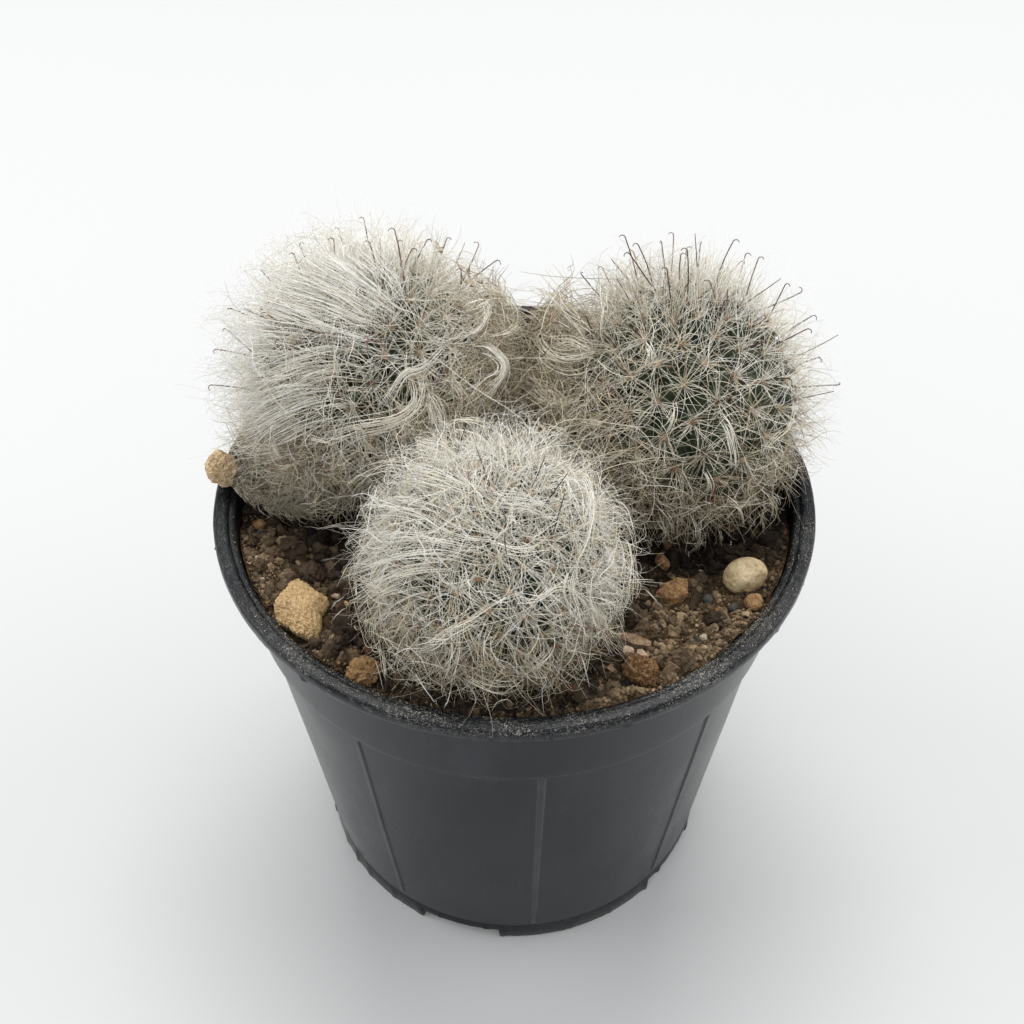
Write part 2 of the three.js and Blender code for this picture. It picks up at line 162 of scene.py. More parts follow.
def clumps(x, y, size, seed, fill=0.75):
    """Rounded crumbs side by side: 0 between them, up to about 1 on their tops."""
    gx, gy = np.floor(x / size), np.floor(y / size)
    best = np.zeros_like(x)
    for dx in (-1, 0, 1):
        for dy in (-1, 0, 1):
            cx, cy = gx + dx, gy + dy
            ox, oy = hash01(cx, cy, seed, 1), hash01(cx, cy, seed, 2)
            rr = (0.35 + 0.45 * hash01(cx, cy, seed, 3)) * size
            hh = 0.45 + 0.55 * hash01(cx, cy, seed, 4)
            hh = np.where(hash01(cx, cy, seed, 5) < fill, hh, 0)
            d2 = ((x - (cx + ox) * size) ** 2 + (y - (cy + oy) * size) ** 2) / rr**2
            best = np.maximum(best, hh * np.sqrt(np.maximum(0, 1 - d2)))
    return best


def icosphere(subdivisions):
    bm = bmesh.new()
    bmesh.ops.create_icosphere(bm, subdivisions=subdivisions, radius=1.0)
    V = np.array([v.co[:] for v in bm.verts])
    F = np.array([[v.index for v in f.verts] for f in bm.faces])
    bm.free()
    return unit(V), F


ICO = {n: icosphere(n) for n in (1, 2, 3, 5, 6, 7)}


def ray(px, py):
    return unit(FWD + (px - 512) / FOCAL * RIGHT - (py - 512) / FOCAL * UP)


def on_sphere(px, py, centre, radius):
    """Where the line of sight through a pixel meets a sphere, or its closest point to it."""
    d = ray(px, py)
    oc = CAM - centre
    b = oc @ d
    disc = b * b - (oc @ oc - radius**2)
    t = -b - math.sqrt(disc) if disc > 0 else -b
    return CAM + t * d


def catmull(points, n):
    """A smooth curve of n evenly spaced points through the given ones."""
    P = np.asarray(points, float)
    P = np.vstack([2 * P[0] - P[1], P, 2 * P[-1] - P[-2]])
    out = []
    for i in range(1, len(P) - 2):
        a, b, c, d = P[i - 1], P[i], P[i + 1], P[i + 2]
        for t in np.linspace(0, 1, 12, endpoint=False):
            out.append(0.5 * (2 * b + (c - a) * t + (2 * a - 5 * b + 4 * c - d) * t**2 + (3 * b - a - 3 * c + d) * t**3))
    out.append(P[-2])
    out = np.array(out)
    s = np.r_[0, np.cumsum(np.linalg.norm(np.diff(out, axis=0), axis=1))]
    q = np.linspace(0, s[-1], n)
    return np.stack([np.interp(q, s, out[:, k]) for k in range(3)], -1)


# ------------------------------------------------------------------ meshes
def make_mesh(name, V, F, material, replaces=(), smooth=True, uv=None, sharp=None):
    """V in millimetres, F an (n, 3) or (n, 4) array; uv is one pair for each corner of each face."""
    V = np.asarray(V, float) * MM
    F = np.asarray(F, np.int32)
    me = bpy.data.meshes.new(name)
    me.vertices.add(len(V))
    me.vertices.foreach_set("co", V.astype(np.float32).ravel())
    k = F.shape[1]
    me.loops.add(F.size)
    me.loops.foreach_set("vertex_index", F.ravel())
    me.polygons.add(len(F))
    me.polygons.foreach_set("loop_start", np.arange(0, F.size, k, dtype=np.int32))
    me.polygons.foreach_set("loop_total", np.full(len(F), k, np.int32))
    me.polygons.foreach_set("use_smooth", np.full(len(F), bool(smooth)))
    if uv is not None:
        layer = me.uv_layers.new(name="OFBake")
        layer.data.foreach_set("uv", np.asarray(uv, np.float32).ravel())
    me.update(calc_edges=True)
    me.validate()
    if sharp is not None:
        me.set_sharp_from_angle(angle=math.radians(sharp))
    me.materials.append(material)
    ob = bpy.data.objects.new(name, me)
    scene.collection.objects.link(ob)
    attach(ob, "root")
    if replaces:
        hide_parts(*replaces)
    return ob


class Strands:
    """Gathers tapered hairs with closed ends, and makes them one mesh."""

    def __init__(self, sides=3):
        self.sides, self.parts, self.count = sides, [], 0

    def add(self, P, R, tint):
        P = np.asarray(P, float)
        if P.ndim == 2:
            P, R, tint = P[None], np.asarray(R)[None], [tint]
        self.parts.append((P, np.broadcast_to(R, P.shape[:2]).astype(float), np.broadcast_to(tint, P.shape[:1]).astype(int)))
        self.count += P.shape[0] * (2 * self.sides * (P.shape[1] - 1) + 2 * (self.sides - 2))

    def build(self, name, material, slot, tints, replaces=(), v0=0.02):
        m = self.sides
        Vs, Fs, UVs, base = [], [], [], 0
        ang = np.arange(m) * 2 * math.pi / m
        for P, R, tint in self.parts:
            S, K, _ = P.shape
            T = np.empty_like(P)
            T[:, 1:-1] = P[:, 2:] - P[:, :-2]
            T[:, 0] = P[:, 1] - P[:, 0]
            T[:, -1] = P[:, -1] - P[:, -2]
            T = unit(T)
            ref = np.where(np.abs(T[:, 0, 2:3]) < 0.9, np.array([[0, 0, 1.0]]), np.array([[1.0, 0, 0]]))
            U = np.empty_like(P)
            u = unit(np.cross(T[:, 0], ref))
            for k in range(K):
                u = unit(u - (u * T[:, k]).sum(-1, keepdims=True) * T[:, k])
                U[:, k] = u
            W = np.cross(T, U)
            ring = P[:, :, None] + R[:, :, None, None] * (np.cos(ang)[:, None] * U[:, :, None] + np.sin(ang)[:, None] * W[:, :, None])
            Vs.append(ring.reshape(-1, 3))
            s = np.arange(S)[:, None, None] * K
            k = np.arange(K - 1)[None, :, None]
            j = np.arange(m)[None, None, :]
            j1 = (j + 1) % m
            a = (s + k) * m + j
            b = (s + k) * m + j1
            c = (s + k + 1) * m + j1
            d = (s + k + 1) * m + j
            quads = np.stack([a, b, c, d], -1).reshape(-1, 4)
            tri = np.concatenate([quads[:, [0, 1, 2]], quads[:, [0, 2, 3]]])
            lo = (tint + 0.25) / tints
            hi = (tint + 0.75) / tints
            uu = lo[:, None] + (hi - lo)[:, None] * (np.arange(m) / (m - 1))[None]
            vv = v0 + (0.98 - v0) * np.arange(K) / (K - 1)
            U2 = np.broadcast_to(uu[:, None, :], (S, K, m))
            V2 = np.broadcast_to(vv[None, :, None], (S, K, m))
            vert_uv = np.stack([U2, V2], -1).reshape(-1, 2)
            Fs.append(tri + base)
            UVs.append(vert_uv[tri])
            sr = np.arange(S) * K * m
            for end, order in ((0, -1), (K - 1, 1)):
                for q in range(1, m - 1):
                    f = np.stack([sr + end * m, sr + end * m + q, sr + end * m + q + 1], -1)[:, ::order]
                    v0 = vv[end]
                    v1 = v0 + (0.02 if end == 0 else -0.02)
                    cuv = np.stack([np.stack([lo, np.full(S, v0)], -1), np.stack([hi, np.full(S, v0)], -1), np.stack([(lo + hi) / 2, np.full(S, v1)], -1)], 1)
                    Fs.append(f + base)
                    UVs.append(cuv)
            base += S * K * m
        return make_mesh(name, np.concatenate(Vs), np.concatenate(Fs), material, replaces, True, np.concatenate(UVs).reshape(-1, 2))


def srgb(*c):
    c = np.array(c, float) / 255
    lin = np.where(c <= 0.04045, c / 12.92, ((c + 0.055) / 1.055) ** 2.4)
    return (float(lin[0]), float(lin[1]), float(lin[2]), 1.0)


# ------------------------------------------------------------------ material tools
class Mat:
    def __init__(self, name, roughness=0.6, specular=0.5):
        self.m = bpy.data.materials.new(name)
        self.m.use_nodes = True
        self.nt = self.m.node_tree
        self.bsdf = self.nt.nodes["Principled BSDF"]
        self.bsdf.inputs["Roughness"].default_value = roughness
        self.bsdf.inputs["Specular IOR Level"].default_value = specular
        self.coord = None

    def node(self, kind, **values):
        n = self.nt.nodes.new(kind)
        for k, v in values.items():
            setattr(n, k, v)
        return n

    def link(self, a, b):
        self.nt.links.new(a, b)

    def set(self, socket, value):
        if isinstance(value, bpy.types.NodeSocket):
            self.link(value, socket)
        else:
            socket.default_value = value

    def place(self):
        if self.coord is None:
            self.coord = self.node("ShaderNodeTexCoord").outputs["Object"]
        return self.coord

    def scaled(self, scale, offset=(0, 0, 0)):
        n = self.node("ShaderNodeMapping")
        n.inputs["Scale"].default_value = scale
        n.inputs["Location"].default_value = offset
        self.link(self.place(), n.inputs["Vector"])
        return n.outputs["Vector"]

    def noise(self, scale, detail=3.0, rough=0.55, vector=None, distortion=0.0):
        n = self.node("ShaderNodeTexNoise")
        n.inputs["Scale"].default_value = scale
        n.inputs["Detail"].default_value = detail
        n.inputs["Roughness"].default_value = rough
        n.inputs["Distortion"].default_value = distortion
        self.link(vector or self.place(), n.inputs["Vector"])
        return n.outputs["Fac"]

    def voronoi(self, scale, output="Distance", feature="F1", vector=None, randomness=1.0):
        n = self.node("ShaderNodeTexVoronoi", feature=feature)
        n.inputs["Scale"].default_value = scale
        n.inputs["Randomness"].default_value = randomness
        self.link(vector or self.place(), n.inputs["Vector"])
        return n.outputs[output]

    def ramp(self, fac, stops, interpolation="LINEAR"):
        n = self.node("ShaderNodeValToRGB")
        r = n.color_ramp
        r.interpolation = interpolation
        while len(r.elements) < len(stops):
            r.elements.new(1.0)
        for e, (at, colour) in zip(r.elements, stops):
            e.position = at
        for e, (at, colour) in zip(r.elements, stops):
            e.color = colour if len(colour) == 4 else (*colour, 1)
        self.set(n.inputs["Fac"], fac)
        return n.outputs["Color"]

    def span(self, fac, a, b, lo=0.0, hi=1.0, smooth=False):
        n = self.node("ShaderNodeMapRange", interpolation_type="SMOOTHSTEP" if smooth else "LINEAR")
        for k, v in (("From Min", a), ("From Max", b), ("To Min", lo), ("To Max", hi)):
            n.inputs[k].default_value = v
        self.link(fac, n.inputs["Value"])
        return n.outputs["Result"]

    def math(self, op, a, b=0.0, clamp=False):
        n = self.node("ShaderNodeMath", operation=op, use_clamp=clamp)
        self.set(n.inputs[0], a)
        self.set(n.inputs[1], b)
        return n.outputs[0]

    def mix(self, fac, a, b, blend="MIX"):
        n = self.node("ShaderNodeMix", data_type="RGBA", blend_type=blend)
        self.set(n.inputs[0], fac)
        self.set(n.inputs[6], a)
        self.set(n.inputs[7], b)
        return n.outputs[2]

    def bump(self, height, strength, distance, normal=None):
        n = self.node("ShaderNodeBump")
        n.inputs["Strength"].default_value = strength
        n.inputs["Distance"].default_value = distance
        self.link(height, n.inputs["Height"])
        if normal is not None:
            self.link(normal, n.inputs["Normal"])
        return n.outputs["Normal"]

    def rings(self, ang, rad, along, across):
        n = self.node("ShaderNodeCombineXYZ")
        self.link(self.math("MULTIPLY", self.math("COSINE", ang), along), n.inputs[0])
        self.link(self.math("MULTIPLY", self.math("SINE", ang), along), n.inputs[1])
        self.link(self.math("MULTIPLY", rad, across), n.inputs[2])
        return n.outputs[0]

    def xyz(self):
        n = self.node("ShaderNodeSeparateXYZ")
        self.link(self.place(), n.inputs[0])
        return n.outputs

    def out(self, colour=None, roughness=None, normal=None):
        if colour is not None:
            self.set(self.bsdf.inputs["Base Color"], colour)
        if roughness is not None:
            self.set(self.bsdf.inputs["Roughness"], roughness)
        if normal is not None:
            self.set(self.bsdf.inputs["Normal"], normal)
        return self.m


def strand_material(name, tips, roots, root_end=0.16, roughness=0.5, specular=0.35, shade=None):
    """Colour by column of the OFBake map across, and from root to tip along it."""
    m = Mat(name, roughness, specular)
    uvn = m.node("ShaderNodeUVMap", uv_map="OFBake")
    sep = m.node("ShaderNodeSeparateXYZ")
    m.link(uvn.outputs["UV"], sep.inputs[0])
    n = len(tips)
    tip = m.ramp(sep.outputs["X"], [(i / n, srgb(*c)) for i, c in enumerate(tips)], "CONSTANT")
    root = m.ramp(sep.outputs["X"], [(i / n, srgb(*c)) for i, c in enumerate(roots)], "CONSTANT")
    fac = m.span(sep.outputs["Y"], 0.03, root_end, 0.0, 1.0, smooth=True)
    colour = m.mix(fac, root, tip)
    if shade:
        colour = m.mix(m.span(sep.outputs["Y"], shade[0], 1.0, 0.0, shade[1]), colour, srgb(*shade[2]))
    return m.out(colour)


# ------------------------------------------------------------------ floor
floor_mat = Mat("studio_floor", 0.9, 0.1)
floor_mat.out(floor_mat.mix(floor_mat.noise(3.0, 1.0), (0.600, 0.605, 0.608, 1), (0.612, 0.617, 0.620, 1)))
me = bpy.data.meshes.new("floor")
me.from_pydata([(-4, -4, 0), (4, -4, 0), (4, 4, 0), (-4, 4, 0)], [], [(0, 1, 2, 3)])
me.materials.append(floor_mat.m)
floor = bpy.data.objects.new("floor", me)
scene.collection.objects.link(floor)

# ------------------------------------------------------------------ the driving sizes, as in the CAD
HEADS = {
    "left": dict(node="cactus_head_left", c=(-24.9, 17.0, 99.5), R=20.3, tilt=(-0.16, 0.06), spin=0.4, seed=11, n=150, env=27.0),
    "right": dict(node="cactus_head_right", c=(28.9, 11.0, 99.3), R=20.3, tilt=(0.08, 0.10), spin=1.3, seed=23, n=150, env=27.2),
    "front": dict(node="cactus_head_front", c=(-3.2, -25.0, 96.2), R=17.8, tilt=(0.02, -0.12), spin=2.2, seed=37, n=168, env=23.4),
}
for h in HEADS.values():
    h["c"] = np.array(h["c"])
    a = unit(np.array([*h["tilt"], 1.0]))
    v = np.cross([0, 0, 1.0], a)
    K = np.array([[0, -v[2], v[1]], [v[2], 0, -v[0]], [-v[1], v[0], 0]])
    h["rot"] = np.eye(3) + K + K @ K / (1 + a[2])
    h["axis"] = a
    i = np.arange(h["n"])
    umax = (1 - math.cos(math.radians(138))) / 2
    u = umax * ((i + 0.35) / h["n"]) ** 1.18
    ct = 1 - 2 * u
    st = np.sqrt(np.maximum(0, 1 - ct * ct))
    az = i * math.radians(137.50776) + h["spin"]
    h["local"] = np.stack([st * np.cos(az), st * np.sin(az), ct], -1)
    h["dirs"] = h["local"] @ h["rot"].T
    h["theta"] = np.degrees(np.arccos(ct))
    near = np.sort(h["local"] @ h["local"].T, axis=1)[:, -4:-1].mean(1)
    h["half"] = np.arccos(np.clip(near, -1, 1)) / 2

POT_H, RIM_R, LIP_H, LIP_FLAT = 88.5, 52.5, 2.7, 2.3
COLLAR_TOP, COLLAR_LOW, COLLAR_Z = 49.7, 47.9, 69.2
BODY_TOP, BODY_LOW = 46.9, 39.3
FOOT_R, FOOT_H, WALL, FLOOR_TOP = 39.1, 4.5, 1.05, 5.6
RIBS, RIB_START, RIB_W, RIB_PROUD = 9, 5.5, 2.0, 0.65
NOTCHES, NOTCH_START, NOTCH_W = 5, -16.1, 16.0

# centre, size and yaw of the loose stones, from the CAD
STONE_SPEC = {
    "large_tan_stone": (-35.0, -26.2, 8.2, 13.0, 5.4, 0.25, 24),
    "round_pebble": (38.6, -19.1, 7.4, 6.6, 5.2, 0.12, 20),
    "brown_angular_stone": (26.4, -20.2, 5.2, 5.2, 3.8, 0.20, -20),
    "small_brown_stone": (25.5, -12.3, 2.2, 3.6, 2.4, 0.20, 15),
    "orange_pebble": (39.6, -23.9, 3.3, 3.0, 2.6, 0.20, 0),
    "rusty_clod": (20.1, -38.3, 5.6, 5.6, 4.6, 0.25, 10),
    "bark_chip": (19.4, -30.8, 6.2, 2.8, 1.7, 0.15, -24),
    "orange_clod": (-23.8, -38.7, 4.8, 4.6, 4.6, 0.25, 0),
    "dark_clod": (-34.4, -16.3, 4.6, 5.2, 4.0, 0.30, 30),
    "dark_crumb": (-30.2, -19.4, 2.6, 2.5, 2.6, 0.30, 0),
    "brown_crumb": (-29.2, -24.2, 2.6, 2.3, 2.3, 0.30, 40),
    "shaded_stone": (-45.2, -3.9, 3.0, 2.7, 2.6, 0.20, 0),
    "dark_grey_grain": (36.2, -24.6, 2.0, 1.6, 1.6, 0.25, 30),
    "blue_grey_grain": (32.2, -22.4, 1.8, 2.4, 1.7, 0.25, -10),
    "white_grain": (30.7, -31.2, 1.6, 1.6, 1.5, 0.25, 0),
}


def soil_level(x, y):
    return 81.6 + 2.7 * step(26, 46, np.hypot(x, y)) * step(2, -20, y)


SOIL_N = Perlin(71)
WALL_STONES = ("large_tan_stone", "round_pebble", "orange_pebble", "rusty_clod", "orange_clod", "shaded_stone", "dark_grey_grain")
SOIL_R = 47.95


def soil_height(x, y, fine=True):
    x, y = np.asarray(x, float), np.asarray(y, float)
    P = np.stack([x, y, np.zeros_like(x)], -1)
    rr = np.hypot(x, y)
    rise = 1.7 * step(40, 48, rr) * step(28, -2, y)
    for name in WALL_STONES:
        cx, cy, w, d, hh, sunk, yaw = STONE_SPEC[name]
        ca, sa = math.cos(math.radians(-yaw)), math.sin(math.radians(-yaw))
        q = np.hypot(((x - cx) * ca - (y - cy) * sa) / (w / 2 + 0.6), ((x - cx) * sa + (y - cy) * ca) / (d / 2 + 0.6))
        rise = rise * step(0.9, 1.45, q)
    z = soil_level(x, y) - 0.5 + rise + 1.3 * SOIL_N(P / 8.5) + 0.9 * SOIL_N(P / 3.6 + 9)
    if fine:
        wx = x + 0.5 * SOIL_N(P / 1.7 + 3)
        wy = y + 0.5 * SOIL_N(P / 1.7 + 31)
        z = z + 1.15 * clumps(wx, wy, 2.9, 5, 0.6) + 0.7 * clumps(wx, wy, 1.45, 6, 0.75) + 0.3 * clumps(wx, wy, 0.7, 7, 0.85)
        z = z + 0.34 * SOIL_N(P / 0.9)
    for h in HEADS.values():
        rho = np.hypot(x - h["c"][0], y - h["c"][1])
        R = h["R"] - 1.2
        under = h["c"][2] - np.sqrt(np.maximum(0, R * R - rho * rho)) - 0.5
        z = np.where(rho < R, np.minimum(z, np.maximum(under, 77.8)), z)
    return z


def stone_centre(name):
    x, y, w, d, hh, sunk, yaw = STONE_SPEC[name]
    return np.array([x, y, float(soil_level(x, y)) + hh * (0.5 - sunk)])


RIM_STONE_C = np.array([-51.0, 0.8, 0.0])
lo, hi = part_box("rim_stone")
RIM_STONE_LO, RIM_STONE_HI = np.array(lo) / MM, np.array(hi) / MM
RIM_STONE_C = (RIM_STONE_LO + RIM_STONE_HI) / 2
RIM_STONE_S = RIM_STONE_HI - RIM_STONE_LO

BLOCKS = [(stone_centre(n), np.array(STONE_SPEC[n][2:5]) / 2 * 1.02, math.radians(STONE_SPEC[n][6])) for n in STONE_SPEC]
BLOCKS.append((RIM_STONE_C, RIM_STONE_S / 2 * 1.0, 0.0))


def clear(P, own=None, gap=0.35, own_gap=0.2):
    """Pushes points out of the globes, the stones, the soil and the pot."""
    P = P.copy()
    for name, h in HEADS.items():
        d = P - h["c"]
        r = np.linalg.norm(d, axis=-1, keepdims=True)
        lim = h["R"] - 1.2 + (own_gap if name == own else gap + 0.9)
        P = np.where(r < lim, h["c"] + d / np.maximum(r, 1e-6) * lim, P)
    for c, s, yaw in BLOCKS:
        d = P - c
        ca, sa = math.cos(-yaw), math.sin(-yaw)
        q = np.stack([d[..., 0] * ca - d[..., 1] * sa, d[..., 0] * sa + d[..., 1] * ca, d[..., 2]], -1) / (s + 0.15)
        r = np.linalg.norm(q, axis=-1, keepdims=True)
        P = np.where(r < 1, c + d / np.maximum(r, 0.2), P)
    rr = np.hypot(P[..., 0], P[..., 1])
    soil = soil_height(P[..., 0], P[..., 1], False) + 0.75
    z = P[..., 2]
    z = np.where((rr < 47.6) & (z < soil), soil, z)
    # over the lip, or back inside the wall
    lip = (rr >= 48.9) & (rr < 53.4) & (z < 88.75) & (z > 66)
    z = np.where(lip, 88.75, z)
    P[..., 2] = z
    inside = (rr >= 47.6) & (rr < 48.9) & (z < 88.0)
    k = np.where(inside, 47.6 / np.maximum(rr, 1e-6), 1.0)
    P[..., 0] *= k
    P[..., 1] *= k
    return P



# ------------------------------------------------------------------ the pot
def pot_material():
    m = Mat("pot_plastic_mat", 0.4, 0.26)
    xyz = m.xyz()
    ang = m.math("ARCTAN2", xyz["Y"], xyz["X"])
    rad = m.math("SQRT", m.math("ADD", m.math("MULTIPLY", xyz["X"], xyz["X"]), m.math("MULTIPLY", xyz["Y"], xyz["Y"])))
    streak = m.noise(1.0, 4.0, 0.6, vector=m.scaled((380.0, 380.0, 26.0)))
    cloud = m.noise(38.0, 4.0, 0.6)
    base = m.mix(m.span(cloud, 0.35, 0.7), (0.0018, 0.0030, 0.0052, 1), (0.0038, 0.0060, 0.0092, 1))
    base = m.mix(m.span(streak, 0.55, 0.85, 0.0, 0.35), base, (0.017, 0.019, 0.022, 1))
    # dull smears down the sides
    smear = m.math("MULTIPLY", m.span(m.noise(1.0, 3.0, 0.6, vector=m.scaled((150.0, 150.0, 38.0), (3.1, 0.7, 1.9))), 0.50, 0.72), m.span(m.noise(24.0, 2.0, 0.5), 0.42, 0.60), clamp=True)
    base = m.mix(m.math("MULTIPLY", smear, 0.12), base, srgb(92, 102, 112))
    # dry dust: fine grains and worn rings on the lip, a trace on the collar and low down
    up = m.span(xyz["Z"], 0.0866, 0.0880, 0.0, 1.0)
    side = m.span(xyz["Z"], 0.0800, 0.0870, 0.0, 0.25)
    foot = m.span(xyz["Z"], 0.010, 0.0, 0.0, 0.3)
    front = m.math("MULTIPLY", m.span(xyz["Y"], 0.006, -0.040, 0.10, 1.0), m.span(xyz["X"], -0.045, 0.030, 0.55, 1.0))
    patch = m.span(m.noise(75.0, 3.0, 0.6), 0.46, 0.66)
    where = m.math("MULTIPLY", m.math("MULTIPLY", m.math("MAXIMUM", up, m.math("MAXIMUM", side, foot)), front), m.math("ADD", m.math("MULTIPLY", patch, 0.9), 0.10))
    speck = m.span(m.noise(3600.0, 2.0, 0.8), 0.58, 0.63)
    blot = m.span(m.noise(1500.0, 3.0, 0.75), 0.58, 0.66)
    # rings run round the lip: noise that is stretched along it
    ring = m.noise(1.0, 3.0, 0.6, vector=m.rings(ang, rad, 26.0, 9000.0))
    ring2 = m.noise(1.0, 3.0, 0.6, vector=m.rings(ang, rad, 60.0, 16000.0))
    worn = m.math("MULTIPLY", m.math("MAXIMUM", m.span(ring, 0.60, 0.70), m.math("MULTIPLY", m.span(ring2, 0.62, 0.70), 0.8)), up)
    dust = m.math("MULTIPLY", where, m.math("MAXIMUM", speck, m.math("MULTIPLY", blot, 0.6)), clamp=True)
    haze = m.math("MULTIPLY", m.span(m.noise(60.0, 5.0, 0.65), 0.5, 0.8), 0.03)
    colour = m.mix(haze, base, srgb(104, 108, 112))
    # painted highlight: a pale grey strip down each rib, stronger in places, where the ribs would catch the light
    turn = m.math("ARCTAN2", xyz["X"], m.math("MULTIPLY", xyz["Y"], -1.0))
    rib = m.span(m.math("COSINE", m.math("MULTIPLY", m.math("SUBTRACT", turn, math.radians(RIB_START)), float(RIBS))), 0.9885, 0.9925)
    rib = m.math("MULTIPLY", rib, m.math("MULTIPLY", m.span(xyz["Z"], 0.0050, 0.0058), m.span(xyz["Z"], 0.0684, 0.0676)))
    rib = m.math("MULTIPLY", rib, m.span(m.noise(1.0, 3.0, 0.6, vector=m.scaled((90.0, 90.0, 60.0), (1.2, 4.4, 0.3))), 0.35, 0.65, 0.10, 0.30), clamp=True)
    colour = m.mix(rib, colour, srgb(92, 97, 102))
    colour = m.mix(m.math("MULTIPLY", worn, 0.32), colour, srgb(166, 168, 168))
    colour = m.mix(dust, colour, m.mix(m.noise(1500.0, 2.0), srgb(140, 132, 118), srgb(230, 226, 214)))
    rough = m.math("ADD", m.math("ADD", m.span(cloud, 0.3, 0.7, 0.22, 0.32), m.math("MULTIPLY", smear, 0.10)), m.math("ADD", m.math("MULTIPLY", dust, 0.5), m.math("MULTIPLY", worn, 0.15)), clamp=True)
    h = m.math("ADD", m.math("MULTIPLY", m.math("ADD", ring, m.math("MULTIPLY", ring2, 0.6)), m.math("MULTIPLY", up, 1.2)), m.math("MULTIPLY", streak, 0.12))
    h = m.math("ADD", h, m.math("MULTIPLY", dust, 0.9))
    return m.out(colour, rough, m.bump(h, 0.35, 0.0001))


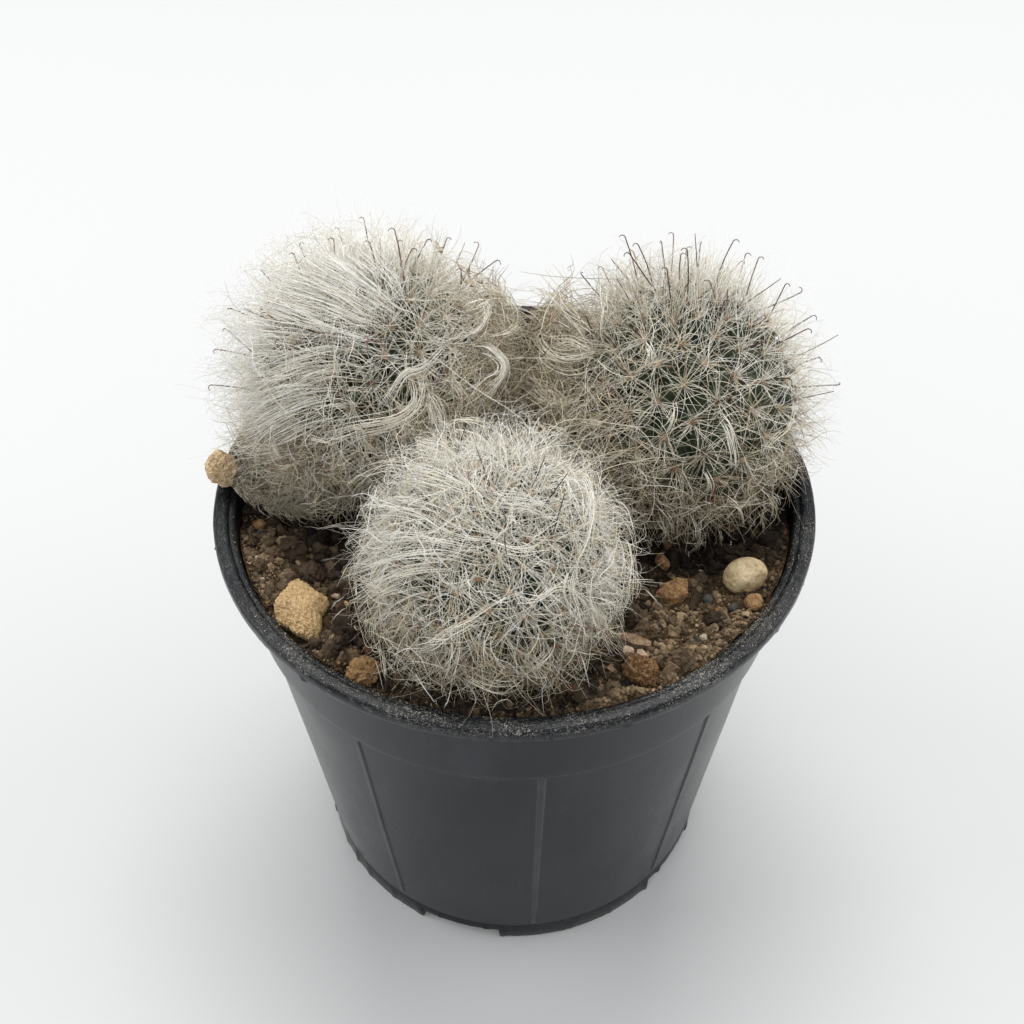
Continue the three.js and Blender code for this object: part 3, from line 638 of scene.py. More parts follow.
def build_pot():
    wob, edge = Perlin(3), Perlin(4)
    rows = [(12, FLOOR_TOP, "f"), (24, FLOOR_TOP, "f"), (36.6, FLOOR_TOP, "f"), (37.7, 5.9, "i"), (38.35, 6.8, "i")]
    for t in np.linspace(0, 1, 8)[1:]:
        rows.append((38.35 + (45.85 - 38.35) * t, 6.8 + (67.6 - 6.8) * t, "i"))
    rows += [(46.2, 68.5, "i"), (46.85, 69.6, "i")]
    for t in np.linspace(0, 1, 6)[1:]:
        rows.append((46.85 + 1.9 * t, 69.6 + 17.5 * t, "i"))
    rows += [(48.80, 87.35, "i"), (48.98, 87.52, "i"), (49.40, 87.58, "i"), (49.82, 87.62, "i"), (49.95, 87.95, "l"), (50.08, 88.28, "l"), (50.32, 88.46, "l"),
             (50.75, 88.5, "l"), (51.3, 88.5, "l"), (51.85, 88.48, "l"), (52.22, 88.32, "l"), (52.42, 88.02, "l"), (52.5, 87.6, "l"), (52.52, 87.1, "l"), (52.5, 86.6, "l"),
             (52.42, 86.15, "e"), (52.2, 85.88, "e"), (51.7, 85.8, "e"), (50.6, 85.8, "l"), (49.95, 85.74, "c"), (49.72, 85.5, "c")]
    for t in np.linspace(0, 1, 12)[1:-1]:
        rows.append((49.70 + (47.92 - 49.70) * t, 85.2 + (69.5 - 85.2) * t, "c"))
    rows += [(47.92, 69.5, "c"), (47.85, 69.12, "c"), (47.62, 68.88, "c"), (47.2, 68.8, "c"), (46.95, 68.74, "c"), (46.88, 68.5, "b")]
    for t in np.linspace(0, 1, 30)[1:-1]:
        rows.append((46.88 + (39.33 - 46.88) * t, 68.5 + (4.95 - 68.5) * t, "b"))
    rows += [(39.33, 4.95, "b"), (39.30, 4.72, "g"), (39.32, 4.50, "g"), (39.36, 4.25, "g"), (39.34, 2.4, "g"), (39.30, 0.45, "g"), (39.1, 0.0, "g"),
             (37.6, 0.0, "g"), (37.42, 0.3, "g"), (37.5, 4.5, "g"), (24, 4.5, "u"), (12, 4.5, "u")]
    az = list(np.arange(340) * 2 * math.pi / 340)
    for k in range(RIBS):
        a = math.radians(RIB_START) + k * 2 * math.pi / RIBS
        for s in (-1.2, -0.86, -0.76, -0.72, -0.55, -0.40, -0.36, -0.2, 0, 0.2, 0.36, 0.40, 0.55, 0.72, 0.76, 0.86, 1.2):
            az.append(a + s / 43)
    for k in range(NOTCHES):
        a = math.radians(NOTCH_START) + k * 2 * math.pi / NOTCHES
        for side in (-1, 1):
            for s in (-0.25, -0.1, 0.0, 0.1, 0.25):
                az.append(a + (side * NOTCH_W / 2 + s) / FOOT_R)
    az = np.sort(np.mod(az, 2 * math.pi))
    keep = [az[0]]
    for a in az[1:]:
        if a - keep[-1] > 0.0009:
            keep.append(a)
    az = np.array(keep)
    J = len(az)
    R = np.zeros((len(rows), J))
    Z = np.zeros((len(rows), J))
    ca, sa = np.cos(az), np.sin(az)
    rib = np.zeros(J)
    for k in range(RIBS):
        a = math.radians(RIB_START) + k * 2 * math.pi / RIBS
        s = np.abs((az - a + math.pi) % (2 * math.pi) - math.pi) * 43
        rib = np.maximum(rib, np.clip((0.72 - s) / 0.34, 0, 1))
    notch = np.zeros(J)
    for k in range(NOTCHES):
        a = math.radians(NOTCH_START) + k * 2 * math.pi / NOTCHES
        s = np.abs((az - a + math.pi) % (2 * math.pi) - math.pi) * FOOT_R
        notch = np.maximum(notch, np.clip((NOTCH_W / 2 - s) / 0.2 + 0.5, 0, 1))
    nicks = np.zeros(J)
    rg = np.random.default_rng(8)
    flash = [(math.atan2(52.2, 9.0), 0.75, 0.35)] + [(rg.random() * 2 * math.pi, 0.15 + 0.35 * rg.random(), 0.3 + 0.6 * rg.random()) for _ in range(26)]
    for a, hgt, w in flash:
        s = np.abs((az - a + math.pi) % (2 * math.pi) - math.pi) * RIM_R
        nicks = np.maximum(nicks, hgt * np.clip(1 - s / w, 0, 1))
    nubs = np.zeros(J)
    # small tabs of flash at the base: angle, how proud, half width
    for a, hgt, w in [(math.radians(NOTCH_START) + side * (NOTCH_W / 2 + 0.6) / FOOT_R + k * 2 * math.pi / NOTCHES, 0.22, 0.7) for k in range(NOTCHES) for side in (-1, 1)] + [(-0.98, 0.32, 0.7), (0.86, 0.25, 0.8), (2.3, 0.3, 0.8), (-2.5, 0.3, 0.7)]:
        s = np.abs((az - a + math.pi) % (2 * math.pi) - math.pi) * FOOT_R
        nubs = np.maximum(nubs, hgt * step(1.3, 0.2, s / w))
    for i, (r, z, kind) in enumerate(rows):
        P = np.stack([ca * 3.0, sa * 3.0, np.full(J, z / 22)], -1)
        rr, zz = np.full(J, float(r)), np.full(J, float(z))
        if kind == "b":
            fade = step(5.0, 5.6, z) * (1 - step(67.6, 68.2, z))
            rr += 0.45 * RIB_PROUD * rib * fade + 0.16 * wob(P) * step(5, 12, z) * (1 - step(60, 68, z))
        if kind in "cl":
            rr += 0.10 * wob(P)
        if kind in "le":
            e = np.stack([ca * 9, sa * 9, np.full(J, 0.3)], -1)
            e2 = np.stack([ca * 38, sa * 38, np.full(J, z)], -1)
            if r > 51:
                rr += 0.10 * edge(e) + 0.05 * edge(e2)
            if kind == "e":
                rr += nicks * 0.9 + 0.10 * edge(e2 * 1.7)
                zz += 0.25 * edge(e) + 0.14 * edge(e2 + 5) - nicks * 0.35
            elif z > 88:
                zz += 0.05 * edge(e2 * 0.6 + 9)
        if kind == "g" and 39.05 < r and z < 3:
            e3 = np.stack([ca * 30, sa * 30, np.full(J, 7.7)], -1)
            rr += 0.22 * np.maximum(0, edge(e3) - 0.1) * 3 + nubs
        if kind == "g" and z < 2.6:
            top = 2.7
            zz = np.maximum(zz, 0) + (top - zz) * notch
        R[i], Z[i] = rr, zz
    V = np.stack([R * sa, -R * ca, Z], -1).reshape(-1, 3)
    V = np.vstack([V, [[0, 0, FLOOR_TOP], [0, 0, 4.5]]])
    i = np.arange(len(rows) - 1)[:, None]
    j = np.arange(J)[None, :]
    j1 = (j + 1) % J
    q = np.stack([i * J + j, (i + 1) * J + j, (i + 1) * J + j1, i * J + j1], -1).reshape(-1, 4)
    F = np.concatenate([q[:, [0, 1, 2]], q[:, [0, 2, 3]]])
    jj, jj1 = np.arange(J), (np.arange(J) + 1) % J
    last = (len(rows) - 1) * J
    c0, c1 = len(V) - 2, len(V) - 1
    F = np.concatenate([F, np.stack([np.full(J, c0), jj, jj1], -1), np.stack([last + jj, np.full(J, c1), last + jj1], -1)])
    pot = make_mesh("nursery_pot", V, F, pot_material(), ("pot",))
    bm = bmesh.new()
    bm.from_mesh(pot.data)
    bmesh.ops.remove_doubles(bm, verts=bm.verts, dist=2e-6)
    bmesh.ops.dissolve_degenerate(bm, edges=bm.edges, dist=1e-6)
    bm.to_mesh(pot.data)
    bm.free()
    # round drain holes through the raised floor
    bm = bmesh.new()
    for k in range(NOTCHES):
        a = math.radians(NOTCH_START) + k * 2 * math.pi / NOTCHES
        made = bmesh.ops.create_cone(bm, cap_ends=True, segments=32, radius1=0.0031, radius2=0.0031, depth=0.006)
        bmesh.ops.translate(bm, verts=made["verts"], vec=(0.031 * math.sin(a), -0.031 * math.cos(a), 0.005))
    cut = bpy.data.meshes.new("drain_cutters")
    bm.to_mesh(cut)
    bm.free()
    cutter = bpy.data.objects.new("drain_cutters", cut)
    scene.collection.objects.link(cutter)
    mod = pot.modifiers.new("drains", "BOOLEAN")
    mod.operation, mod.solver, mod.object = "DIFFERENCE", "EXACT", cutter
    bpy.context.view_layer.update()
    shaped = bpy.data.meshes.new_from_object(pot.evaluated_get(bpy.context.evaluated_depsgraph_get()))
    pot.modifiers.clear()
    pot.data = shaped
    bpy.data.objects.remove(cutter)
    pot.data.shade_smooth()
    pot.data.set_sharp_from_angle(angle=math.radians(42))
    return pot


pot = build_pot()


# ------------------------------------------------------------------ soil
def soil_material():
    m = Mat("soil_mat", 0.95, 0.12)
    wide = m.noise(95.0, 4.0, 0.6)
    cells = m.voronoi(1000.0, "Color")
    sep = m.node("ShaderNodeSeparateColor")
    m.link(cells, sep.inputs[0])
    grit = m.ramp(sep.outputs[0], [(0.0, srgb(34, 27, 21)), (0.2, srgb(48, 38, 29)), (0.42, srgb(66, 52, 39)), (0.66, srgb(88, 70, 52)), (0.86, srgb(112, 92, 70)), (0.95, srgb(140, 120, 94))], "CONSTANT")
    base = m.mix(m.span(wide, 0.3, 0.7), srgb(42, 33, 25), srgb(82, 65, 47))
    colour = m.mix(0.5, base, grit)
    # paler and drier towards the front, where more light and less hair reach it
    xyz = m.xyz()
    dry = m.math("MULTIPLY", m.math("MULTIPLY", m.span(xyz["Y"], -0.008, -0.028), m.span(xyz["X"], 0.0, 0.020, 0.35, 1.0)), m.span(m.noise(140.0, 4.0, 0.65), 0.36, 0.62), clamp=True)
    n2 = m.noise(2600.0, 3.0, 0.7)
    colour = m.mix(m.math("MULTIPLY", dry, 0.75), colour, m.mix(n2, srgb(84, 68, 50), srgb(160, 134, 102)))
    colour = m.mix(m.span(n2, 0.45, 0.75, 0.0, 0.4), colour, srgb(132, 108, 82))
    dark = m.span(m.noise(260.0, 3.0, 0.6), 0.36, 0.52, 0.6, 0.0)
    colour = m.mix(dark, colour, srgb(38, 29, 23))
    # darker soil and painted shade under and beside the globes, where their shadow falls
    near = None
    for hd in HEADS.values():
        dx = m.math("SUBTRACT", xyz["X"], float(hd["c"][0]) * MM)
        dy = m.math("SUBTRACT", xyz["Y"], float(hd["c"][1]) * MM)
        r = m.math("SQRT", m.math("ADD", m.math("MULTIPLY", dx, dx), m.math("MULTIPLY", dy, dy)))
        e = m.span(r, (hd["R"] + 11.0) * MM, (hd["R"] - 1) * MM, 0.0, 0.82, smooth=True)
        near = e if near is None else m.math("MAXIMUM", near, e)
    colour = m.mix(near, colour, srgb(20, 17, 15))
    h = m.math("ADD", m.math("MULTIPLY", m.voronoi(1500.0), -0.7), n2)
    return m.out(colour, 0.95, m.bump(h, 0.8, 0.0003))


def build_soil():
    K, M = 118, 560
    rr = SOIL_R * (np.arange(1, K + 1) / K) ** 0.92
    a = np.arange(M) * 2 * math.pi / M
    X, Y = rr[:, None] * np.cos(a), rr[:, None] * np.sin(a)
    Zt = soil_height(X, Y)
    Zt[-1] -= 0.15
    edge_r = np.minimum(48.35, 46.85 + 1.9 * (Zt[-1] - 69.6) / 17.5 - 0.08)
    X[-1], Y[-1] = edge_r * np.cos(a), edge_r * np.sin(a)
    top = np.stack([X, Y, Zt], -1).reshape(-1, 3)
    low = [(46.65, 69.6), (45.6, 67.6), (38.1, 6.9), (36.6, 5.85)]
    side = np.concatenate([np.stack([r * np.cos(a), r * np.sin(a), np.full(M, z)], -1) for r, z in low])
    V = np.vstack([top, side, [[0, 0, float(soil_height(0.0, 0.0))], [0, 0, 5.85]]])
    n = K + len(low)
    i, j = np.arange(n - 1)[:, None], np.arange(M)[None]
    j1 = (j + 1) % M
    q = np.stack([i * M + j, (i + 1) * M + j, (i + 1) * M + j1, i * M + j1], -1).reshape(-1, 4)
    F = np.concatenate([q[:, [0, 1, 2]], q[:, [0, 2, 3]]])
    jj, jj1 = np.arange(M), (np.arange(M) + 1) % M
    F = np.concatenate([F, np.stack([np.full(M, len(V) - 2), jj, jj1], -1), np.stack([(n - 1) * M + jj, np.full(M, len(V) - 1), (n - 1) * M + jj1], -1)])
    return make_mesh("soil_bed", V, F, soil_material(), ("potting_soil",), smooth=False)


build_soil()

CRUMB_TINTS = [(32, 28, 24), (44, 37, 31), (58, 49, 40), (74, 62, 50), (90, 76, 60), (106, 90, 71), (124, 106, 84), (144, 124, 98),
               (166, 144, 114), (140, 108, 74), (112, 82, 58), (36, 31, 27), (72, 68, 62), (94, 90, 84), (178, 160, 130), (204, 192, 168)]
CRUMB_ODDS = np.array([5, 8, 11, 14, 16, 16, 14, 9, 5, 1.6, 2.4, 2.0, 1.2, 0.7, 1.0, 0.35])


def crumb_mesh(name, places, sizes, tints, level, seed, squash=(0.6, 1.0)):
    rg = np.random.default_rng(seed)
    V0, F0 = ICO[level]
    noise = Perlin(seed + 1)
    shapes = []
    for k in range(14):
        r = 1 + 0.8 * noise(V0 * 1.1 + 7.7 * k) + (0.6 * noise(V0 * 2.8 + 3.1 * k) if level > 1 else 0) + (0.45 * noise(V0 * 4.6 + 1.9 * k) + 0.2 * noise(V0 * 10 + 1.9 * k) if level > 2 else 0)
        shapes.append(V0 * r[:, None])
    n = len(places)
    which = rg.integers(0, len(shapes), n)
    W = np.array(shapes)[which]
    S = np.stack([sizes * rg.uniform(0.75, 1.25, n), sizes * rg.uniform(0.75, 1.25, n), sizes * rg.uniform(*squash, n)], -1) / 2
    W = W * S[:, None, :]
    q = unit(rg.normal(size=(n, 4)))
    w, x, y, z = q.T
    Rm = np.stack([1 - 2 * (y * y + z * z), 2 * (x * y - z * w), 2 * (x * z + y * w), 2 * (x * y + z * w), 1 - 2 * (x * x + z * z), 2 * (y * z - x * w),
                   2 * (x * z - y * w), 2 * (y * z + x * w), 1 - 2 * (x * x + y * y)], -1).reshape(-1, 3, 3)
    W = np.einsum("nvk,njk->nvj", W, Rm) + places[:, None, :]
    F = (F0[None] + (np.arange(n) * len(V0))[:, None, None]).reshape(-1, 3)
    nt = len(CRUMB_TINTS)
    base = np.array([[0.25, 0.1], [0.75, 0.1], [0.5, 0.9]])
    uv = np.broadcast_to(base, (n, len(F0), 3, 2)).copy()
    uv[..., 0] = (uv[..., 0] + tints[:, None, None]) / nt
    return make_mesh(name, W.reshape(-1, 3), F, CRUMB_MAT, smooth=False, uv=uv.reshape(-1, 2))


CRUMB_MAT = strand_material("crumb_mat", CRUMB_TINTS, [tuple(int(c * 0.85) for c in t) for t in CRUMB_TINTS], 0.9, roughness=0.95, specular=0.15)


def build_crumbs():
    rg = np.random.default_rng(55)

    def scatter(n, lo, hi, power, rise):
        pts = []
        while len(pts) < n:
            r = SOIL_R * math.sqrt(rg.random())
            a = rg.random() * 2 * math.pi
            x, y = r * math.cos(a), r * math.sin(a)
            size = lo + (hi - lo) * rg.random() ** power
            if r > SOIL_R - size * 0.5:
                continue
            if any(math.hypot(x - h["c"][0], y - h["c"][1]) < h["R"] - 5.5 for h in HEADS.values()):
                continue
            if any((((x - c[0]) / (s[0] + 0.2 + 0.3 * size)) ** 2 + ((y - c[1]) / (s[1] + 0.2 + 0.3 * size)) ** 2) < 0.85 for c, s, yaw in BLOCKS):
                continue
            pts.append((x, y, size))
        pts = np.array(pts)
        z = soil_height(pts[:, 0], pts[:, 1]) + rise * pts[:, 2]
        return np.stack([pts[:, 0], pts[:, 1], z], -1), pts[:, 2]

    odds = CRUMB_ODDS / CRUMB_ODDS.sum()
    def tinted(P):
        # neighbours share a tint, more or less, as crumbs of one clod do
        k = rg.choice(16, len(P), p=odds)
        x, y = P[:, 0], P[:, 1]
        sandy = np.clip(step(-14, -30, y) * step(6, 20, x) + 0.75 * step(-33, -41, x) * step(0, -12, y) + 0.4 * step(-30, -40, y), 0, 1)
        rho = np.min([np.hypot(x - h["c"][0], y - h["c"][1]) - h["R"] for h in HEADS.values()], axis=0)
        # painted shade: crumbs are darker near the globes and towards the back, where shade falls
        local = 3.9 + 4.4 * SOIL_N(P / 3.2) + 2.6 * sandy - 3.6 * step(11, 1, rho) - 1.0 * step(-14, 0, y) + rg.normal(0, 1.35, len(P))
        return np.where((k >= 9) & (rg.random(len(P)) < 0.8), k, np.clip(np.round(local), 0, 8).astype(int))

    P, S = scatter(8800, 0.28, 0.80, 1.8, 0.15)
    crumb_mesh("soil_grains", P, S, tinted(P), 1, 61)
    P, S = scatter(6000, 0.22, 0.60, 1.5, 0.22)
    crumb_mesh("soil_grains_fine", P, S, tinted(P), 1, 62)
    # grains heaped against the wall
    m = 5200
    r, a = 48.1 - 3.6 * rg.random(m) ** 1.4, rg.uniform(0, 2 * math.pi, m)
    S = 0.26 + 0.62 * rg.random(m) ** 2
    r = np.minimum(r, 48.15 - 0.5 * S)
    P = np.stack([r * np.cos(a), r * np.sin(a), soil_height(r * np.cos(a), r * np.sin(a))], -1)
    P[:, 2] = np.minimum(P[:, 2] + 0.25 * S, 87.3)
    free = np.array([not any((((q[0] - c[0]) / (e[0] + 0.2)) ** 2 + ((q[1] - c[1]) / (e[1] + 0.2)) ** 2) < 0.85 for c, e, yaw in BLOCKS) for q in P])
    P, S = P[free], S[free]
    crumb_mesh("soil_grains_edge", P, S, tinted(P), 1, 63)
    P, S = scatter(2300, 0.8, 2.0, 2.2, 0.14)
    crumb_mesh("soil_crumbs_a", P, S, tinted(P), 2, 67)
    P, S = scatter(1500, 1.0, 3.0, 2.2, 0.10)
    T = tinted(P)
    crumb_mesh("soil_crumbs_b", P, S, np.where((T >= 14) | (T == 8), 6, T), 2, 68)
    P, S = scatter(120, 2.4, 4.8, 1.8, 0.02)
    crumb_mesh("soil_clods", P, S, np.minimum(tinted(P), 8) // 2 + 1, 3, 69, squash=(0.55, 0.85))
    # sandy dust and grains caught on the lip and its inner ledge
    pts, sizes = [], []
    while len(pts) < 1900:
        a = rg.random() * 2 * math.pi
        front = 0.5 + 0.5 * math.cos(a)
        drift = float(SOIL_N(np.array([math.cos(a) * 4, math.sin(a) * 4, 2.2])))
        if rg.random() > (0.03 + 0.40 * front ** 3 + 0.55 * math.exp(-((a - 0.95) / 0.33) ** 2)) * min(1, max(0.02, 0.30 + 3.2 * drift)):
            continue
        size = 0.07 + 0.15 * rg.random() ** 3
        if rg.random() < 0.62:
            r, z = rg.uniform(48.95, 49.85), 87.60
        else:
            r, z = rg.uniform(50.3, 52.2), 88.48
        pts.append((r * math.sin(a), -r * math.cos(a), z + size * 0.22))
        sizes.append(size)
    crumb_mesh("lip_dust_grains", np.array(pts), np.array(sizes), rg.choice([13, 14, 15, 15, 15, 12], len(pts)), 1, 71)


build_crumbs()


# ------------------------------------------------------------------ stones and clods
def stone_material(name, dark, mid, light, scale=420.0, bump=0.6, depth=0.0003, rough=0.85, spots=None, specular=0.3):
    m = Mat(name, rough, specular)
    n1 = m.noise(scale, 5.0, 0.65, distortion=0.4)
    n2 = m.noise(scale * 4.3, 4.0, 0.7)
    colour = m.ramp(n1, [(0.28, srgb(*dark)), (0.5, srgb(*mid)), (0.72, srgb(*light))])
    colour = m.mix(m.span(n2, 0.45, 0.75, 0.0, 0.55), colour, srgb(*light))
    colour = m.mix(m.span(n2, 0.42, 0.25, 0.0, 0.6), colour, srgb(*dark))
    if spots:
        v = m.voronoi(spots[0])
        colour = m.mix(m.span(v, 0.26, 0.16, 0.0, spots[2]), colour, srgb(*spots[1]))
    h = m.math("ADD", n1, m.math("MULTIPLY", n2, 0.6))
    return m.out(colour, m.span(n2, 0.2, 0.8, rough - 0.08, min(1.0, rough + 0.1)), m.bump(h, bump, depth))


def rock(name, seed, planes=0, sharp=14, rough=0.06, freq=2.2, pits=None, level=6, size=None, centre=None, yaw=None, boxy=0.0, fine=0.02, outline=None):
    rg = np.random.default_rng(seed)
    V, F = ICO[level]
    noise = Perlin(seed)
    r = np.ones(len(V))
    if planes:
        nrm = unit(rg.normal(size=(planes, 3)))
        hgt = rg.uniform(0.66, 0.95, planes)
        q = hgt / np.maximum(V @ nrm.T, 0.04)
        r = (np.sum(q ** -sharp, axis=1) + 1.0) ** (-1 / sharp)
    if boxy:
        r = r / (np.sum(np.abs(V) ** (2 + boxy), axis=1) ** (1 / (2 + boxy)))
    P = V * r[:, None]
    P = P + V * (rough * noise.fbm(P * freq, 4, 0.55))[:, None]
    if pits:
        n, rad_, dep = pits
        at = unit(rg.normal(size=(n, 3)))
        rads = rad_ * rg.uniform(0.5, 1.3, n)
        ang = np.arccos(np.clip(V @ at.T, -1, 1))
        hole = (np.clip(1 - ang / rads, 0, 1) ** 0.6) * rads / rad_
        P = P - V * (dep * hole.max(1))[:, None]
    P = P + V * (fine * noise.fbm(P * freq * 5.5 + 5, 3, 0.6))[:, None]
    if outline:
        # the plan of the stone, as corners of a polygon
        q = np.array(outline)
        a, rad_ = np.arctan2(q[:, 1], q[:, 0]), np.hypot(q[:, 0], q[:, 1])
        k = np.argsort(a)
        f = np.interp(np.arctan2(P[:, 1], P[:, 0]), np.r_[a[k] - 2 * math.pi, a[k], a[k] + 2 * math.pi], np.tile(rad_[k], 3))
        P[:, :2] *= f[:, None]
    lo, hi = P.min(0), P.max(0)
    if size is None:
        x, y, w, d, hh, sunk, yw = STONE_SPEC[name]
        size, centre, yaw = (w, d, hh), stone_centre(name), yw
    P = (P - (lo + hi) / 2) / (hi - lo) * np.array(size)
    a = math.radians(yaw)
    P = np.stack([P[:, 0] * math.cos(a) - P[:, 1] * math.sin(a), P[:, 0] * math.sin(a) + P[:, 1] * math.cos(a), P[:, 2]], -1)
    return P + np.asarray(centre), F


TAN = stone_material("tan_stone_mat", (124, 92, 60), (214, 178, 128), (242, 216, 170), 1900.0, 1.0, 0.0005)
RIMTAN = stone_material("rim_stone_mat", (158, 124, 88), (236, 206, 164), (250, 234, 200), 1700.0, 1.0, 0.0005)
PALE = stone_material("pale_pebble_mat", (108, 81, 51), (180, 159, 122), (218, 203, 168), 330.0, 0.5, 0.00025, 0.6, spots=(520.0, (122, 88, 54), 0.55), specular=0.4)
BROWN = stone_material("brown_stone_mat", (64, 45, 30), (148, 110, 71), (216, 180, 134), 1100.0, 0.9, 0.0004)
ORANGE = stone_material("orange_pebble_mat", (84, 60, 38), (148, 113, 76), (192, 160, 118), 1200.0, 0.7, 0.0003)
RUSTY = stone_material("rusty_clod_mat", (48, 32, 21), (142, 103, 67), (216, 178, 130), 1500.0, 1.0, 0.0006)
OCHRE = stone_material("orange_clod_mat", (100, 72, 44), (186, 146, 98), (224, 190, 142), 1500.0, 1.0, 0.0006)
DARK = stone_material("dark_clod_mat", (46, 37, 30), (76, 61, 48), (108, 89, 70), 900.0, 1.0, 0.0005)
GREY = stone_material("grey_grain_mat", (46, 46, 43), (66, 67, 63), (98, 98, 92), 1200.0, 0.5, 0.0002)
PINK = stone_material("pinkish_pebble_mat", (112, 90, 74), (166, 142, 118), (200, 180, 156), 1500.0, 0.6, 0.0003)
WHITE = stone_material("white_grain_mat", (128, 118, 100), (172, 163, 144), (204, 197, 180), 1200.0, 0.5, 0.0002)
BARK = stone_material("bark_chip_mat", (94, 73, 57), (152, 125, 99), (190, 166, 138), 900.0, 1.0, 0.0005)

KITE = [(-0.14, 1.0), (-0.47, 0.93), (-0.59, 0.66), (-0.84, 0.30), (-1.0, -0.12), (-0.76, -0.47), (-0.26, -0.82), (0.06, -1.03), (0.47, -1.0), (0.78, -0.96), (0.80, -0.61), (0.80, -0.26), (1.0, 0.16), (0.63, 0.54), (0.18, 0.93)]

for name, mat, slot_name, kw in (
    ("large_tan_stone", TAN, "tan_stone", dict(seed=5, planes=11, sharp=26, rough=0.07, pits=(260, 0.085, 0.045), level=7, freq=2.6, fine=0.07, size=(9.0, 12.6, 5.8), centre=stone_centre("large_tan_stone"), yaw=0, outline=KITE)),
    ("round_pebble", PALE, "pale_stone", dict(seed=6, rough=0.06, freq=1.2, pits=(9, 0.12, 0.035), level=6, fine=0.03, size=(7.9, 6.2, 5.9), centre=stone_centre("round_pebble") + np.array([0, 0, 0.4]), yaw=24)),
    ("small_brown_stone", BROWN, "brown_stone", dict(seed=8, planes=7, sharp=24, rough=0.10, level=5, fine=0.03)),
    ("orange_pebble", ORANGE, "brown_stone", dict(seed=9, planes=8, sharp=10, rough=0.12, level=5, fine=0.03)),
    ("rusty_clod", RUSTY, "rusty_clod", dict(seed=10, planes=6, sharp=9, rough=0.28, freq=3.4, pits=(150, 0.13, 0.12), level=7, fine=0.11, size=(6.0, 7.4, 5.6), centre=stone_centre("rusty_clod"), yaw=24)),
    ("orange_clod", OCHRE, "rusty_clod", dict(seed=11, planes=6, sharp=9, rough=0.28, freq=3.2, pits=(130, 0.14, 0.12), level=7, fine=0.10, size=(5.9, 5.4, 5.2), centre=stone_centre("orange_clod"), yaw=0)),
    ("dark_clod", DARK, "dark_clod", dict(seed=12, planes=7, rough=0.24, freq=3.0, pits=(80, 0.18, 0.10), level=6, fine=0.07)),
    ("dark_crumb", DARK, "dark_clod", dict(seed=13, planes=8, rough=0.14, level=5, fine=0.05)),
    ("brown_crumb", DARK, "dark_clod", dict(seed=14, planes=8, rough=0.14, level=5, fine=0.05)),
    ("shaded_stone", BROWN, "brown_stone", dict(seed=15, planes=9, rough=0.07, level=5)),
    ("dark_grey_grain", GREY, "grey_stone", dict(seed=16, planes=8, rough=0.05, level=5)),
    ("blue_grey_grain", GREY, "grey_stone", dict(seed=17, planes=8, rough=0.05, level=5)),
    ("white_grain", WHITE, "pale_stone", dict(seed=18, planes=6, rough=0.05, level=5)),
):
    V, F = rock(name, **kw)
    make_mesh(name + "_detail", V, F, mat, (name,))
V, F = rock("rim_stone", 24, planes=7, sharp=11, rough=0.22, freq=1.8, pits=(140, 0.12, 0.06), level=7, fine=0.07, size=RIM_STONE_S * np.array([1.0, 1.04, 1.14]), centre=RIM_STONE_C + np.array([0, 0, 0.06 * RIM_STONE_S[2]]), yaw=0)
make_mesh("rim_stone_detail", V, F, RIMTAN, ("rim_stone",))


def chunk(corners, seed, cuts=5, rough=0.10):
    """A broken stone: the hull of a few corners, worn and pitted a little."""
    bm = bmesh.new()
    for c in corners:
        bm.verts.new(c)
    bmesh.ops.convex_hull(bm, input=bm.verts)
    bmesh.ops.triangulate(bm, faces=bm.faces)
    bmesh.ops.subdivide_edges(bm, edges=bm.edges, cuts=cuts, use_grid_fill=True)
    bmesh.ops.triangulate(bm, faces=bm.faces)
    bm.verts.ensure_lookup_table()
    V = np.array([v.co[:] for v in bm.verts])
    F = np.array([[v.index for v in f.verts] for f in bm.faces])
    bm.free()
    noise = Perlin(seed)
    mid = V.mean(0)
    n = unit(V - mid)
    return V + n * (rough * (noise(V * 0.9) * 1.6 + noise(V * 2.4) + 0.5 * noise(V * 5.0)))[:, None], F


BROWN_CORNERS = [(-2.9, -0.6, -1.2), (-2.6, -0.5, 0.5), (-0.4, -2.3, -1.2), (-0.3, -2.1, 0.7), (2.6, -1.7, -1.2), (2.5, -1.6, 1.5), (2.7, 1.4, -1.2), (2.5, 0.7, 2.6), (0.9, 0.9, 2.7),
                 (-0.9, 1.8, -1.2), (-1.2, 1.0, 1.2), (0.6, -0.7, 2.2)]
V, F = chunk(BROWN_CORNERS, 707)
BARK_CORNERS = [(-3.1, -0.5, -0.6), (-2.9, 0.7, -0.6), (-3.0, 0.4, 0.5), (-2.8, -0.6, 0.3), (3.1, -0.4, -0.6), (2.7, 0.9, -0.6), (2.8, 0.6, 0.6), (3.1, -0.3, 0.4), (-0.4, 0.8, 0.85), (0.4, -1.0, 0.5),
                (0.2, -1.1, -0.6), (-0.2, 1.0, -0.6)]
B, BF = chunk(BARK_CORNERS, 719, 6, 0.12)
turn = math.radians(-24)
B = np.stack([B[:, 0] * math.cos(turn) - B[:, 1] * math.sin(turn), B[:, 0] * math.sin(turn) + B[:, 1] * math.cos(turn), B[:, 2]], -1)
make_mesh("bark_chip_detail", B + stone_centre("bark_chip"), BF, BARK, ("bark_chip",), smooth=True, sharp=28)
make_mesh("brown_angular_stone_detail", V + stone_centre("brown_angular_stone"), F, BROWN, ("brown_angular_stone",), smooth=True, sharp=28)


# small pebbles seen one by one: photograph pixel, size, then which of the three stones
def on_soil(px, py, lift):
    d, z = ray(px, py), 84.0
    for _ in range(6):
        P = CAM + d * ((z - CAM[2]) / d[2])
        z = float(soil_height(P[0], P[1])) + lift
    return P


